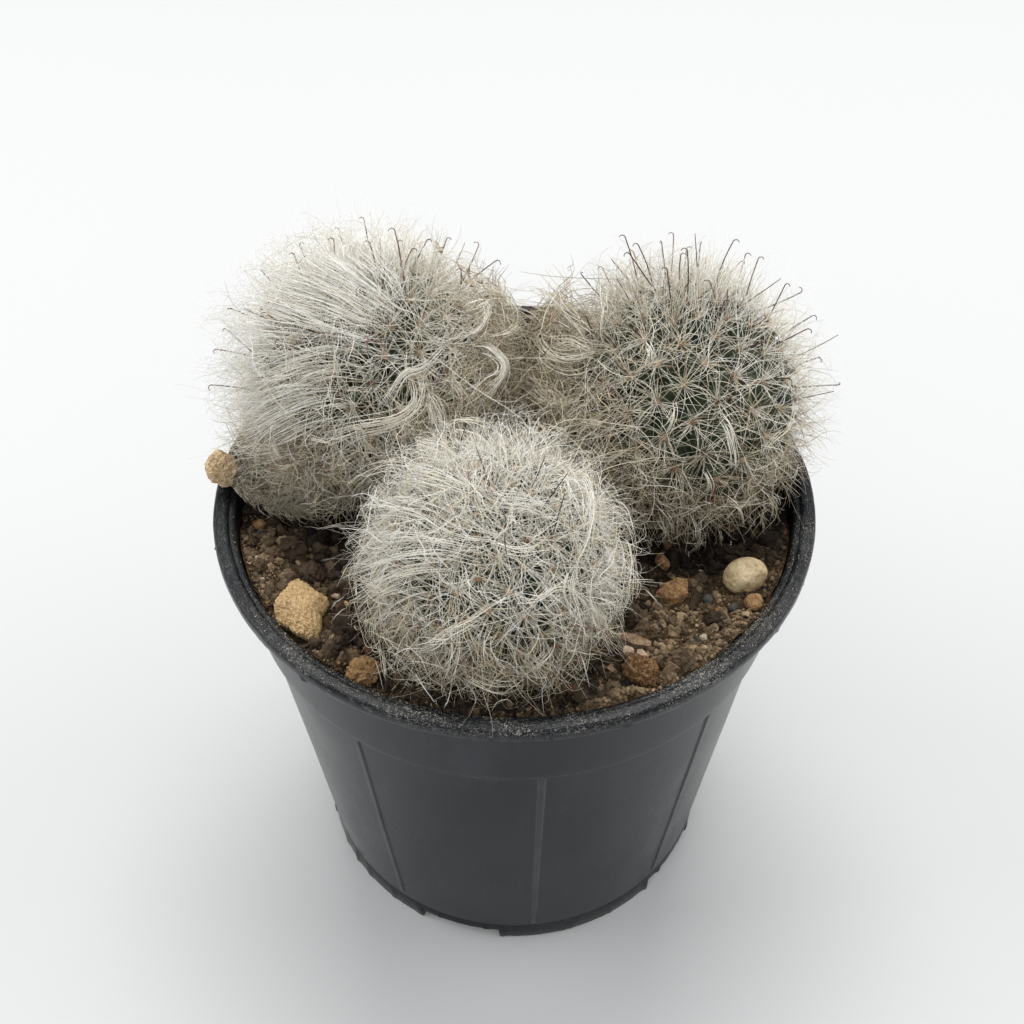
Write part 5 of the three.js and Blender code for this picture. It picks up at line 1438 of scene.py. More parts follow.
LOCKS = [
    # the fan of long straight streaks to the left, and the ones above it swept up and away
    ("left", 20, 1.5, 6.6, 1.0, M_([(840, 730), (660, 690), (480, 730), (330, 790), (150, 850)])),
    ("left", 18, 1.4, 7.2, 1.2, M_([(760, 760), (560, 770), (380, 830), (190, 910)])),
    ("left", 22, 1.6, 6.4, 1.0, M_([(800, 900), (600, 890), (400, 950), (250, 1010), (120, 1090)])),
    ("left", 20, 1.5, 6.8, 1.2, M_([(760, 960), (560, 990), (380, 1070), (230, 1160), (150, 1240)])),
    ("left", 20, 1.5, 6.2, 1.6, M_([(840, 1040), (680, 1060), (500, 1120), (350, 1190), (210, 1240)])),
    ("left", 16, 1.4, 7.4, 0.8, M_([(700, 850), (500, 850), (330, 880), (160, 960)])),
    ("left", 18, 1.4, 6.4, 1.4, M_([(900, 820), (740, 800), (560, 830), (420, 900), (260, 990)])),
    ("left", 16, 1.4, 6.8, 1.4, M_([(640, 1010), (460, 1030), (300, 1100), (170, 1190)])),
    ("left", 26, 2.0, 7.0, 0.2, M_([(1040, 500), (860, 360), (700, 250), (540, 170)])),
    ("left", 26, 2.0, 7.2, 0.2, M_([(980, 520), (800, 430), (620, 330), (440, 250), (280, 180)])),
    ("left", 26, 2.0, 7.4, 0.2, M_([(900, 540), (740, 470), (560, 400), (370, 350), (180, 310)])),
    ("left", 24, 1.9, 7.6, 0.2, M_([(820, 560), (660, 530), (500, 470), (330, 410), (110, 370)])),
    ("left", 22, 1.8, 7.6, 0.4, M_([(740, 600), (560, 560), (380, 490), (230, 440), (80, 460)])),
    ("left", 18, 1.7, 7.2, 0.4, M_([(1060, 440), (940, 300), (820, 190), (700, 100)])),
    ("left", 18, 1.6, 7.4, 0.6, M_([(700, 640), (520, 610), (350, 600), (160, 580), (60, 600)])),
    ("left", 20, 1.8, 7.8, 0.0, M_([(960, 470), (820, 330), (660, 220), (460, 120)])),
    ("left", 22, 1.9, 6.8, 0.4, M_([(1010, 600), (840, 550), (640, 460), (430, 390)])),
    ("left", 20, 1.8, 6.6, 0.6, M_([(980, 650), (800, 610), (600, 560), (400, 520)])),
    ("left", 20, 1.9, 6.8, 0.4, M_([(1060, 560), (900, 460), (740, 360), (580, 270)])),
    # the big S-shaped ones
    ("left", 24, 1.25, 6.4, 1.4, M_([(1085, 800), (1130, 880), (1140, 980), (1080, 1060), (960, 1110), (800, 1140), (640, 1190), (430, 1230)])),
    ("left", 10, 0.90, 6.2, 1.8, M_([(1150, 800), (1160, 900), (1120, 1020), (1040, 1090), (900, 1150), (760, 1190)])),
    ("left", 22, 0.70, 6.6, 1.2, M_([(1290, 660), (1180, 780), (1060, 830), (990, 930), (930, 1010), (880, 1080)])),
    ("left", 20, 0.85, 6.4, 1.8, M_([(1180, 930), (1240, 1010), (1270, 1100), (1240, 1190), (1160, 1230)])),
    ("left", 12, 0.60, 6.6, 2.0, M_([(1180, 930), (1205, 1020), (1215, 1120), (1195, 1190)])),
    ("left", 9, 0.70, 8.2, 1.6, L_([(1240, 450), (1320, 460), (1330, 500), (1290, 550), (1200, 580), (1150, 640)])),
    ("left", 20, 0.95, 9.6, 1.2, N_([(20, 520), (90, 520), (150, 560), (200, 620), (190, 700), (130, 770), (80, 830), (50, 900)])),
    ("left", 14, 0.60, 9.0, 1.6, L_([(1330, 610), (1390, 650), (1430, 700), (1410, 780), (1350, 850)])),
    ("left", 11, 0.75, 8.4, 1.6, N_([(-40, 320), (20, 285), (90, 260), (105, 310), (70, 370), (0, 430)])),
    ("left", 20, 1.10, 8.0, 4.2, N_([(0, 205), (90, 190), (180, 200), (240, 240)])),
    ("left", 14, 0.90, 8.8, 3.0, N_([(90, 470), (190, 460), (260, 430), (310, 370)])),
    ("left", 12, 0.80, 8.8, 3.0, N_([(180, 960), (200, 920), (260, 900), (340, 860), (360, 820)])),
    ("left", 12, 0.80, 6.6, 3.0, L_([(1180, 760), (1240, 860), (1250, 960)])),
    ("left", 9, 0.50, 6.6, 2.0, M_([(490, 1160), (560, 1200), (660, 1215), (740, 1190)])),
    ("left", 8, 0.45, 6.6, 2.2, M_([(345, 1180), (335, 1240), (360, 1290), (410, 1320)])),
    ("left", 8, 0.50, 6.2, 2.6, M_([(830, 1120), (820, 1190), (860, 1250), (930, 1290)])),
    # the brown, matted foot of it
    ("left", 30, 1.7, 5.6, 4.4, M_([(620, 1240), (430, 1250), (280, 1275), (160, 1290), (60, 1290)])),
    ("left", 26, 1.7, 5.2, 4.8, M_([(560, 1370), (420, 1330), (280, 1300), (130, 1290)])),
    ("left", 26, 1.7, 5.2, 4.2, M_([(540, 1390), (400, 1380), (260, 1370), (130, 1360)])),
    ("left", 24, 1.6, 5.0, 3.8, M_([(530, 1400), (400, 1440), (290, 1460), (170, 1430)])),
    ("left", 22, 1.6, 5.0, 3.8, M_([(540, 1410), (470, 1480), (390, 1520), (260, 1530)])),
    ("left", 18, 1.5, 5.0, 3.4, M_([(560, 1420), (560, 1500), (540, 1570)])),
    ("left", 16, 1.4, 5.0, 3.4, M_([(560, 1400), (620, 1470), (640, 1560)])),
    ("left", 16, 1.4, 5.0, 4.4, M_([(600, 1360), (680, 1330), (760, 1260), (860, 1240)])),
    ("left", 14, 1.2, 5.4, 3.6, M_([(990, 1300), (900, 1380), (800, 1440), (740, 1520)])),
    # single long hairs that reach out over the soil
    ("left", 2, 0.2, 9.5, 1.6, [(297, 530), (315, 530), (330, 526), (345, 525), (359, 534)]),
    ("front", 2, 0.3, 7.5, 1.4, [(412, 668), (421, 685), (431, 698), (441, 711)]),
    ("front", 2, 0.3, 7.5, 1.6, [(455, 674), (449, 688), (447, 701), (441, 711)]),
    ("front", 2, 0.2, 7.0, 2.0, [(579, 650), (585, 666), (591, 692)]),
    ("front", 2, 0.2, 8.5, 2.4, [(615, 580), (630, 582), (645, 581), (670, 582)]),
    ("front", 2, 0.2, 8.5, 2.6, [(625, 572), (645, 588), (659, 606)]),
    ("right", 2, 0.2, 8.0, 3.0, [(686, 540), (689, 562), (695, 577), (710, 585)]),
    ("front", 2, 0.2, 9.0, 1.6, [(352, 604), (342, 610), (331, 622), (323, 636)]),
    ("front", 2, 0.2, 9.0, 1.8, [(350, 592), (338, 600), (328, 606)]),
    # right globe: long locks that hang to the left, and loose ones over the stars
    ("right", 18, 1.1, 7.2, 2.6, N_([(800, 560), (720, 600), (620, 640), (520, 620), (440, 560), (400, 500), (330, 440)])),
    ("right", 13, 1.2, 7.0, 3.0, N_([(800, 550), (700, 570), (580, 580), (480, 560), (420, 500)])),
    ("right", 16, 1.0, 7.2, 2.6, N_([(790, 545), (700, 530), (600, 490), (540, 500), (480, 480)])),
    ("right", 20, 1.0, 6.8, 3.4, N_([(730, 830), (640, 830), (540, 870), (440, 840), (380, 770), (330, 700)])),
    ("right", 14, 0.9, 6.8, 3.2, N_([(740, 850), (640, 900), (560, 960), (470, 1010)])),
    ("right", 20, 1.1, 6.4, 4.0, N_([(560, 840), (480, 780), (400, 740), (300, 740), (200, 730)])),
    ("right", 7, 1.1, 7.2, 2.8, N_([(800, 520), (790, 400), (800, 280), (780, 150)])),
    ("right", 8, 1.3, 7.4, 3.0, N_([(760, 540), (660, 420), (540, 320), (470, 200)])),
    ("right", 12, 0.9, 7.4, 3.0, N_([(700, 440), (560, 280), (450, 180), (340, 170), (240, 210)])),
    ("right", 9, 0.56, 7.2, 2.2, R_([(725, 830), (730, 890), (700, 950), (670, 975)])),
    ("right", 14, 0.68, 7.2, 2.2, R_([(925, 890), (980, 950), (1000, 1030), (1010, 1110), (990, 1180)])),
    ("right", 7, 0.59, 7.0, 1.8, R_([(600, 560), (625, 620), (600, 690)])),
    ("right", 10, 0.68, 6.4, 3.0, R_([(1130, 1350), (1150, 1420), (1160, 1500)])),
    ("right", 7, 0.50, 6.2, 4.0, R_([(640, 1360), (690, 1420), (720, 1480)])),
    ("right", 8, 0.55, 6.2, 3.4, R_([(860, 1380), (850, 1480), (810, 1540)])),
    ("right", 8, 0.50, 6.2, 3.6, R_([(940, 1400), (950, 1450), (945, 1500)])),
    ("right", 8, 0.50, 6.2, 3.4, R_([(1000, 1450), (990, 1520), (975, 1560)])),
    ("right", 7, 0.50, 6.6, 3.4, R_([(860, 1120), (900, 1220), (880, 1290)])),
    ("right", 8, 0.60, 6.6, 3.2, T_([(540, 890), (560, 930), (570, 980), (560, 1010)])),
    ("right", 8, 0.60, 6.6, 3.4, T_([(440, 880), (480, 930), (500, 990)])),
    ("right", 8, 0.60, 6.6, 3.4, T_([(640, 850), (700, 900), (720, 960)])),
    ("right", 8, 0.60, 6.6, 3.0, T_([(740, 820), (800, 860), (830, 930)])),
    ("right", 7, 0.55, 6.8, 3.0, T_([(330, 560), (290, 620), (240, 640), (180, 620)])),
    ("right", 7, 0.55, 6.8, 3.6, T_([(360, 700), (300, 740), (240, 730)])),
    ("right", 7, 0.55, 6.8, 3.0, T_([(870, 560), (860, 640), (800, 700), (760, 780)])),
    # front globe: streaks to the left over its upper half, hanging locks on the right, loops at its foot
    ("front", 12, 1.45, 5.0, 1.0, S_([(560, 330), (470, 270), (380, 240), (280, 220), (180, 200)])),
    ("front", 10, 1.30, 5.2, 1.2, S_([(520, 260), (420, 240), (330, 200), (260, 180), (160, 190)])),
    ("front", 12, 1.59, 4.8, 1.4, S_([(560, 400), (450, 400), (350, 380), (260, 330), (150, 320), (50, 330)])),
    ("front", 11, 1.45, 5.0, 1.2, S_([(500, 360), (400, 330), (300, 290), (200, 270), (90, 300)])),
    ("front", 12, 1.45, 4.8, 1.4, S_([(480, 440), (380, 420), (280, 400), (180, 400), (60, 440)])),
    ("front", 17, 1.74, 4.8, 0.8, S_([(480, 480), (350, 455), (230, 460), (130, 490), (20, 540)])),
    ("front", 12, 1.59, 4.6, 1.4, S_([(450, 505), (330, 490), (220, 500), (120, 540), (40, 590)])),
    ("front", 10, 1.30, 5.0, 1.2, S_([(700, 330), (600, 290), (500, 280), (410, 240)])),
    ("front", 9, 1.30, 4.8, 1.6, S_([(460, 420), (520, 440), (600, 450), (690, 430)])),
    ("front", 10, 1.45, 5.2, 1.6, S_([(300, 220), (250, 185), (180, 170), (110, 190), (30, 250)])),
    ("front", 9, 1.45, 4.8, 2.0, S_([(420, 540), (300, 530), (180, 560), (80, 610)])),
    ("front", 16, 1.59, 5.2, 1.6, S_([(740, 150), (790, 240), (800, 330), (785, 420), (750, 490), (745, 570)])),
    ("front", 9, 1.30, 5.2, 2.0, S_([(700, 200), (740, 270), (770, 350), (790, 440)])),
    ("front", 10, 1.30, 5.0, 2.2, S_([(820, 480), (800, 560), (820, 640), (850, 710)])),
    ("front", 9, 1.30, 5.0, 2.6, S_([(870, 370), (905, 460), (890, 560), (850, 640)])),
    ("front", 9, 1.30, 5.0, 2.2, S_([(760, 480), (735, 560), (770, 640), (760, 710)])),
    ("front", 12, 1.16, 5.4, 2.0, S_([(245, 750), (300, 740), (350, 700), (430, 660), (520, 600), (610, 565)])),
    ("front", 7, 1.16, 5.0, 2.8, S_([(240, 720), (310, 720), (400, 700), (480, 640)])),
    ("front", 7, 1.16, 5.0, 2.0, S_([(560, 600), (640, 600), (700, 560), (770, 560)])),
    ("front", 9, 1.30, 5.0, 3.2, S_([(130, 700), (150, 780), (170, 850), (230, 885)])),
    ("front", 9, 1.30, 5.0, 3.2, S_([(160, 760), (200, 830), (260, 870), (350, 870)])),
    ("front", 7, 1.16, 5.2, 3.0, S_([(360, 620), (385, 720), (370, 800), (325, 860)])),
    ("front", 7, 1.16, 5.0, 2.6, S_([(650, 660), (680, 740), (640, 800), (570, 850)])),
    ("front", 7, 1.16, 5.0, 3.2, S_([(400, 820), (500, 865), (600, 850)])),
    ("front", 7, 1.16, 5.0, 2.8, S_([(490, 650), (460, 740), (480, 830)])),
    ("front", 7, 1.16, 5.0, 2.8, S_([(120, 620), (110, 700), (150, 760)])),
    ("front", 9, 0.88, 5.0, 2.6, F_([(520, 100), (600, 50), (680, 60), (740, 100)])),
    ("front", 11, 0.96, 5.0, 2.2, F_([(390, 120), (400, 160), (470, 200), (540, 290)])),
]


def draw_locks():
    rg = np.random.default_rng(404)
    locks = Strands()
    for key, n, wide, high, tint, pts in LOCKS:
        h = HEADS[key]
        m = len(pts)
        mid = []
        for j, (px, py) in enumerate(pts):
            f = math.sin(math.pi * min(1.0, (j + 0.35) / (m - 0.3)))
            mid.append(on_sphere(px, py, h["c"], h["R"] + high - 1.8 * (1 - f)))
        K = 16
        G = catmull(mid, K)
        T = unit(np.gradient(G, axis=0))
        Nn = unit(G - h["c"])
        B = unit(np.cross(T, Nn))
        t = np.linspace(0, 1, K)
        body = wide * (0.35 + 0.65 * np.sin(math.pi * np.clip(t * 0.92 + 0.05, 0, 1)) ** 0.8)
        off = rg.normal(size=(n, 2)) * np.array([0.50, 0.24 if wide > 2 else 0.36])
        drift = rg.normal(size=(n, 2)) * np.array([0.75, 0.25])
        ph = rg.random((n, 2)) * 6.28
        a = off[:, :1] + drift[:, :1] * t + 0.20 * np.sin(ph[:, :1] + t * rg.uniform(3, 9, (n, 1)))
        b = off[:, 1:] + drift[:, 1:] * t + 0.16 * np.sin(ph[:, 1:] + t * rg.uniform(3, 9, (n, 1)))
        loose = 1 + 1.4 * step(0.55, 1.0, t) + 0.8 * step(0.35, 0.0, t)
        P = G[None] + (a * body * loose)[..., None] * B[None] + (b * body * loose)[..., None] * Nn[None]
        # each hair begins and ends at its own place along the lock
        s0 = rg.uniform(0, 0.45, n)
        s1 = rg.uniform(0.55, 1.0, n)
        q = (s0[:, None] + (s1 - s0)[:, None] * t) * (K - 1)
        lo = np.clip(np.floor(q).astype(int), 0, K - 2)
        fr = (q - lo)[..., None]
        r = np.arange(n)[:, None]
        P = P[r, lo] * (1 - fr) + P[r, lo + 1] * fr
        P = clear(P, own=key)
        tt = np.clip(np.round(tint + rg.normal(0, 0.8, n)), 0, 7).astype(int)
        tt = np.where(rg.random(n) < 0.12, 13, tt)
        r = rg.uniform(0.046, 0.082, n)[:, None] * np.minimum(1, 0.35 + 3.2 * t)[None] * (1 - 0.7 * t**2)[None]
        locks.add(P, r, tt)
    locks.build("drawn_locks", HAIR, "cactus", NT, v0=0.3)


draw_locks()


# tangled wool: short curly hairs, matted in patches; each patch is a photograph pixel and its radius
TANGLES = [
    # head, count, height over the skin, length, tint, its spread, combing, drop, patches
    ("left", 380, (2.0, 6.8), (7.0, 14.0), 4.9, 2.0, 0.7, 0.02, [(262, 452, 26), (250, 470, 20), (285, 478, 26), (312, 488, 24), (240, 452, 12), (335, 470, 20), (300, 450, 24)]),
    ("left", 200, (3.0, 7.5), (7.0, 13.0), 4.8, 2.0, 0.3, 0.03, [(470, 330, 26), (490, 370, 26), (455, 400, 26), (500, 320, 20), (430, 430, 24), (480, 300, 16)]),
    ("left", 230, (4.0, 9.0), (8.0, 14.0), 5.8, 1.7, 0.2, 0.04, [(505, 340, 18), (510, 380, 20), (500, 410, 18), (505, 310, 14), (490, 290, 12)]),
    ("left", 160, (3.0, 6.0), (6.0, 11.0), 3.0, 1.4, 0.3, 0.02, [(400, 440, 26), (370, 460, 26), (355, 490, 16)]),
    ("right", 250, (4.0, 9.0), (8.0, 14.0), 5.5, 1.8, 0.3, 0.05, [(540, 340, 20), (535, 380, 22), (545, 310, 18), (555, 410, 22), (570, 430, 20), (560, 290, 14)]),
    ("right", 200, (2.5, 6.5), (7.0, 12.0), 4.4, 2.0, 0.2, 0.05, [(620, 500, 26), (680, 515, 26), (740, 505, 26), (780, 470, 20), (650, 470, 26), (600, 460, 22)]),
    ("left", 120, (4.0, 8.0), (9.0, 16.0), 0.8, 1.2, 2.2, 0.0, [(300, 300, 44), (270, 350, 30), (300, 400, 40), (350, 320, 30)]),
    ("left", 90, (5.0, 9.0), (9.0, 16.0), 0.2, 0.7, 2.6, -0.02, [(250, 284, 18), (232, 330, 18), (290, 250, 20), (335, 238, 16), (226, 380, 14)]),
    ("right", 90, (3.0, 6.5), (7.0, 12.0), 4.2, 1.8, 0.2, 0.03, [(620, 400, 30), (690, 350, 30), (750, 400, 30), (650, 330, 30)]),
    ("left", 70, (3.0, 7.0), (7.0, 12.0), 4.6, 1.6, 0.2, 0.02, [(512, 296, 14), (506, 312, 14)]),
    ("right", 80, (3.0, 7.5), (7.0, 12.0), 4.6, 1.6, 0.2, 0.02, [(540, 296, 16), (532, 312, 14)]),
    ("front", 100, (3.0, 5.5), (9.0, 16.0), 1.4, 1.2, 0.9, 0.0, [(420, 470, 30), (470, 500, 34), (400, 530, 30)]),
    ("front", 110, (2.0, 5.2), (7.0, 13.0), 4.4, 1.8, 0.3, 0.02, [(390, 640, 24), (400, 675, 20), (440, 680, 24), (380, 600, 20), (500, 685, 24), (560, 670, 24)]),
    ("front", 110, (2.0, 5.5), (7.0, 13.0), 2.6, 1.6, 0.3, 0.02, [(590, 500, 26), (600, 560, 26), (590, 620, 26), (560, 450, 20)]),
    ("front", 70, (2.5, 5.0), (8.0, 14.0), 1.8, 1.4, 0.4, 0.0, [(440, 500, 36), (500, 540, 36), (430, 580, 36)]),
]


def build_tangles():
    rg = np.random.default_rng(717)
    to = Strands()
    for key, n, high, length, tint, sd, lay, drop, patches in TANGLES:
        h = HEADS[key]
        q = np.array(patches, float)
        k = rg.choice(len(q), n, p=q[:, 2] ** 2 / (q[:, 2] ** 2).sum())
        a, r = rg.random(n) * 6.283, np.sqrt(rg.random(n)) * q[k, 2]
        up = rg.uniform(*high, n)
        root = np.array([on_sphere(x, y, h["c"], h["R"] + u) for x, y, u in zip(q[k, 0] + r * np.cos(a), q[k, 1] + r * np.sin(a), up)])
        nrm = unit(root - h["c"])
        d = unit(unit(np.cross(nrm, rg.normal(size=(n, 3)))) + lay * comb(h, root) + 0.25 * rg.normal(size=(n, 3)))
        L = rg.uniform(*length, n)
        root = root - d * (L * 0.5)[:, None]
        root = clear(root, own=key)
        P = grow(h, root, d, L, 12, lie=0.03, swirl=0.10, wave=0.30, wavelength=7.0, stray=0.24, drop=drop, env=h["R"] + np.minimum(up + 1.5, 10.5)[:, None], rg=rg, held=1, scale=5.0)
        P = gathered(P, rg, 4, 0.45, 0.0)
        t = np.linspace(0, 1, 12)
        R = rg.uniform(0.046, 0.078, n)[:, None] * np.minimum(1, 0.4 + 3 * t)[None] * (1 - 0.65 * t**2)[None]
        tt = np.clip(np.round(tint + rg.normal(0, sd, n)), 0, 8).astype(int)
        tt = np.where(rg.random(n) < 0.05, 10, np.where(rg.random(n) < 0.06, 12, tt))
        to.add(P, R, tt)
    to.build("tangled_wool", HAIR, "cactus", NT, v0=0.25)


build_tangles()


def build_felt_fold():
    """The rolled, felted edge at the foot of the left globe."""
    rg = np.random.default_rng(727)
    h = HEADS["left"]
    mid = [on_sphere(px, py, h["c"], h["R"] + up) for (px, py), up in zip(L_([(120, 1190), (160, 1270), (230, 1330), (320, 1370), (420, 1395), (520, 1385)]), (6.2, 5.8, 5.4, 5.0, 4.6, 3.6))]
    G = catmull(mid, 40)
    T = unit(np.gradient(G, axis=0))
    n, K = 620, 8
    k = rg.integers(1, 39, n)
    w = 1.25 * np.sin(math.pi * np.clip((k + 2) / 42, 0, 1)) ** 0.5
    root = G[k] + unit(rg.normal(size=(n, 3))) * (w * rg.random(n) ** 0.5)[:, None]
    d = unit(T[k] * rg.choice([-1, 1], n)[:, None] * rg.uniform(0.2, 1.6, n)[:, None] + 0.7 * rg.normal(size=(n, 3)))
    P = grow(h, clear(root, own="left"), d, rg.uniform(3.0, 6.5, n), K, swirl=0.2, wave=0.45, wavelength=4.0, stray=0.35, env=np.linalg.norm(G[k] - h["c"], axis=1)[:, None] + 1.3, rg=rg, held=1, scale=3.0)
    felt = Strands()
    felt.add(P, taper(rg.uniform(0.045, 0.075, n), K, 0.3), np.clip(np.round(4.9 + rg.normal(0, 1.3, n)), 1, 8).astype(int))
    felt.build("felted_fold", HAIR, "cactus", NT, v0=0.2)


build_felt_fold()


# matted hair that spans the gaps between the globes
def span_hair():
    rg = np.random.default_rng(515)
    mat = Strands()
    for one, two, n, warm in (("left", "right", 90, 4.8), ("left", "front", 80, 3.8), ("right", "front", 90, 4.4)):
        A, B = HEADS[one], HEADS[two]
        ab = unit(B["c"] - A["c"])
        upv = unit(np.array([0, 0, 1.0]) - ab[2] * ab)
        sd = np.cross(ab, upv)

        def place(h, sign, m):
            ang = rg.uniform(-1.2, 1.2, m) if sign > 0 else rg.uniform(-1.2, 1.2, m)
            open_ = np.radians(rg.uniform(8, 58, m))
            v = sign * ab * np.cos(open_)[:, None] + (upv * np.cos(ang)[:, None] + sd * np.sin(ang)[:, None]) * np.sin(open_)[:, None]
            return h["c"] + unit(v) * (h["R"] + rg.uniform(0.5, 3.0, m))[:, None]

        K = 11
        S, E = place(A, 1, n), place(B, -1, n)
        flip = rg.random(n) < 0.5
        S2 = np.where(flip[:, None], E, S)
        E2 = np.where(flip[:, None], S, E)
        mid = (S2 + E2) / 2
        gap = np.linalg.norm(E2 - S2, axis=1, keepdims=True)
        c1 = S2 + (mid - S2) * 0.5 + rg.normal(0, 1.0, (n, 3)) * (2.0 + 0.14 * gap) + np.array([0, 0, 1.0]) * rg.uniform(-3.0, 2.0, (n, 1))
        c2 = E2 + (mid - E2) * 0.5 + rg.normal(0, 1.0, (n, 3)) * (2.0 + 0.14 * gap) + np.array([0, 0, 1.0]) * rg.uniform(-3.0, 1.5, (n, 1))
        reach = rg.uniform(0.45, 1.0, (n, 1, 1))
        t = np.linspace(0, 1, K)[None, :, None] * reach
        P = (1 - t) ** 3 * S2[:, None] + 3 * (1 - t) ** 2 * t * c1[:, None] + 3 * (1 - t) * t**2 * c2[:, None] + t**3 * E2[:, None]
        ph = rg.random((n, 1, 3)) * 6.28
        P = P + 0.7 * np.sin(ph + t * rg.uniform(4, 14, (n, 1, 3)))
        P[:, 1:] = clear(P[:, 1:])
        tt = np.clip(np.round(warm + rg.normal(0, 1.6, n)), 1, 8).astype(int)
        mat.add(P, taper(rg.uniform(0.050, 0.080, n), K, 0.4), tt)
    mat.build("bridging_hair", HAIR, "cactus", NT, v0=0.2)


span_hair()


# hooked central spines
def hook_path(root, out, across, length, bend=0.5, bow=0.0, turn=160):
    K1, K2 = 6, 7
    pts = [root + out * length * t + across * bow * math.sin(math.pi * t) for t in np.linspace(0, 1, K1)]
    c = pts[-1] + across * bend
    for a in np.linspace(0, math.radians(turn), K2 + 1)[1:]:
        pts.append(c - across * bend * math.cos(a) + out * bend * math.sin(a))
    return np.array(pts)


# end of the hook, top of the shaft, where it leaves the hair; then tint and size of the hook (0 for a straight spine)
HOOKS = {
    "right": [R_(p[:3]) + list(p[3:]) for p in (
        ((485, 55), (505, 68), (565, 200), 1, .5), ((350, 118), (372, 112), (450, 220), 1, .5), ((545, 108), (565, 105), (605, 200), 2, .45), ((500, 140), (522, 146), (590, 260), 1, .5),
        ((380, 212), (400, 212), (445, 300), 1, .45), ((515, 340), (470, 270), (600, 500), 4, 0), ((680, 215), (700, 218), (722, 320), 1, .4), ((655, 285), (668, 285), (685, 360), 2, .4),
        ((712, 52), (732, 60), (730, 330), 3, .45), ((775, 130), (795, 130), (800, 310), 0, .5), ((835, 110), (830, 62), (842, 160), 0, 0), ((1030, 90), (1010, 88), (935, 300), 1, .5),
        ((1085, 155), (1065, 150), (1000, 330), 1, .5), ((1145, 175), (1125, 168), (1110, 260), 2, .45), ((1140, 350), (1225, 270), (1060, 420), 5, 0), ((1262, 300), (1250, 290), (1235, 340), 2, .4),
        ((985, 372), (965, 368), (930, 460), 9, .5), ((1400, 445), (1380, 435), (1260, 510), 1, .5), ((1372, 505), (1355, 497), (1180, 560), 1, .5), ((1480, 560), (1490, 530), (1330, 630), 2, .0),
        ((1415, 645), (1405, 630), (1250, 690), 1, .5), ((1390, 800), (1470, 790), (1310, 805), 2, 0), ((288, 462), (330, 440), (360, 555), 1, .6), ((1150, 520), (1130, 512), (1000, 560), 8, .5),
        ((1180, 470), (1165, 440), (1050, 520), 9, 0), ((1120, 540), (1160, 560), (1050, 600), 9, .4))],
    "left": [L_(p[:3]) + list(p[3:]) for p in (
        ((405, 178), (420, 180), (480, 330), 2, .4), ((597, 110), (612, 112), (620, 190), 3, .45), ((690, 125), (705, 128), (745, 235), 2, .45), ((765, 120), (780, 124), (800, 250), 3, .45),
        ((880, 70), (900, 60), (920, 200), 3, .55), ((925, 125), (915, 120), (925, 180), 3, .4), ((1000, 160), (985, 155), (955, 270), 2, .45), ((1165, 108), (1150, 106), (1115, 210), 1, .4),
        ((1285, 145), (1305, 135), (1300, 230), 6, .5), ((1265, 180), (1235, 130), (1250, 250), 6, 0), ((1405, 225), (1390, 210), (1310, 300), 1, .5), ((1205, 260), (1218, 255), (1225, 290), 0, .4),
        ((1480, 365), (1525, 355), (1450, 380), 1, 0), ((825, 515), (845, 507), (930, 620), 2, .55), ((680, 650), (675, 625), (680, 690), 0, 0), ((332, 600), (352, 583), (520, 650), 9, .6),
        ((80, 530), (95, 535), (140, 610), 9, .4), ((30, 635), (45, 635), (120, 680), 8, .45), ((5, 805), (20, 805), (100, 835), 1, .5), ((265, 460), (285, 462), (310, 500), 8, .5),
        ((1140, 470), (1118, 438), (1100, 520), 9, 0), ((60, 1010), (0, 1030), (120, 985), 6, 0), ((560, 1200), (540, 1195), (500, 1230), 8, .4), ((620, 1190), (680, 1220), (560, 1180), 8, 0),
        ((480, 860), (560, 770), (640, 810), 8, 0), ((1060, 830), (1090, 800), (1010, 890), 8, 0))],
    "front": [F_(p[:3]) + list(p[3:]) for p in (
        ((1035, 215), (1030, 225), (1000, 300), 4, 0), ((1150, 290), (1140, 310), (1085, 415), 7, 0), ((1130, 395), (1125, 410), (1095, 560), 7, 0), ((865, 270), (850, 250), (840, 340), 5, .5),
        ((835, 690), (840, 700), (855, 770), 0, 0), ((700, 210), (690, 180), (710, 260), 2, 0), ((480, 280), (485, 290), (510, 320), 2, 0), ((1330, 530), (1290, 545), (1240, 580), 2, 0),
        ((860, 480), (820, 490), (830, 540), 4, 0), ((480, 700), (530, 700), (600, 705), 2, 0))],
}


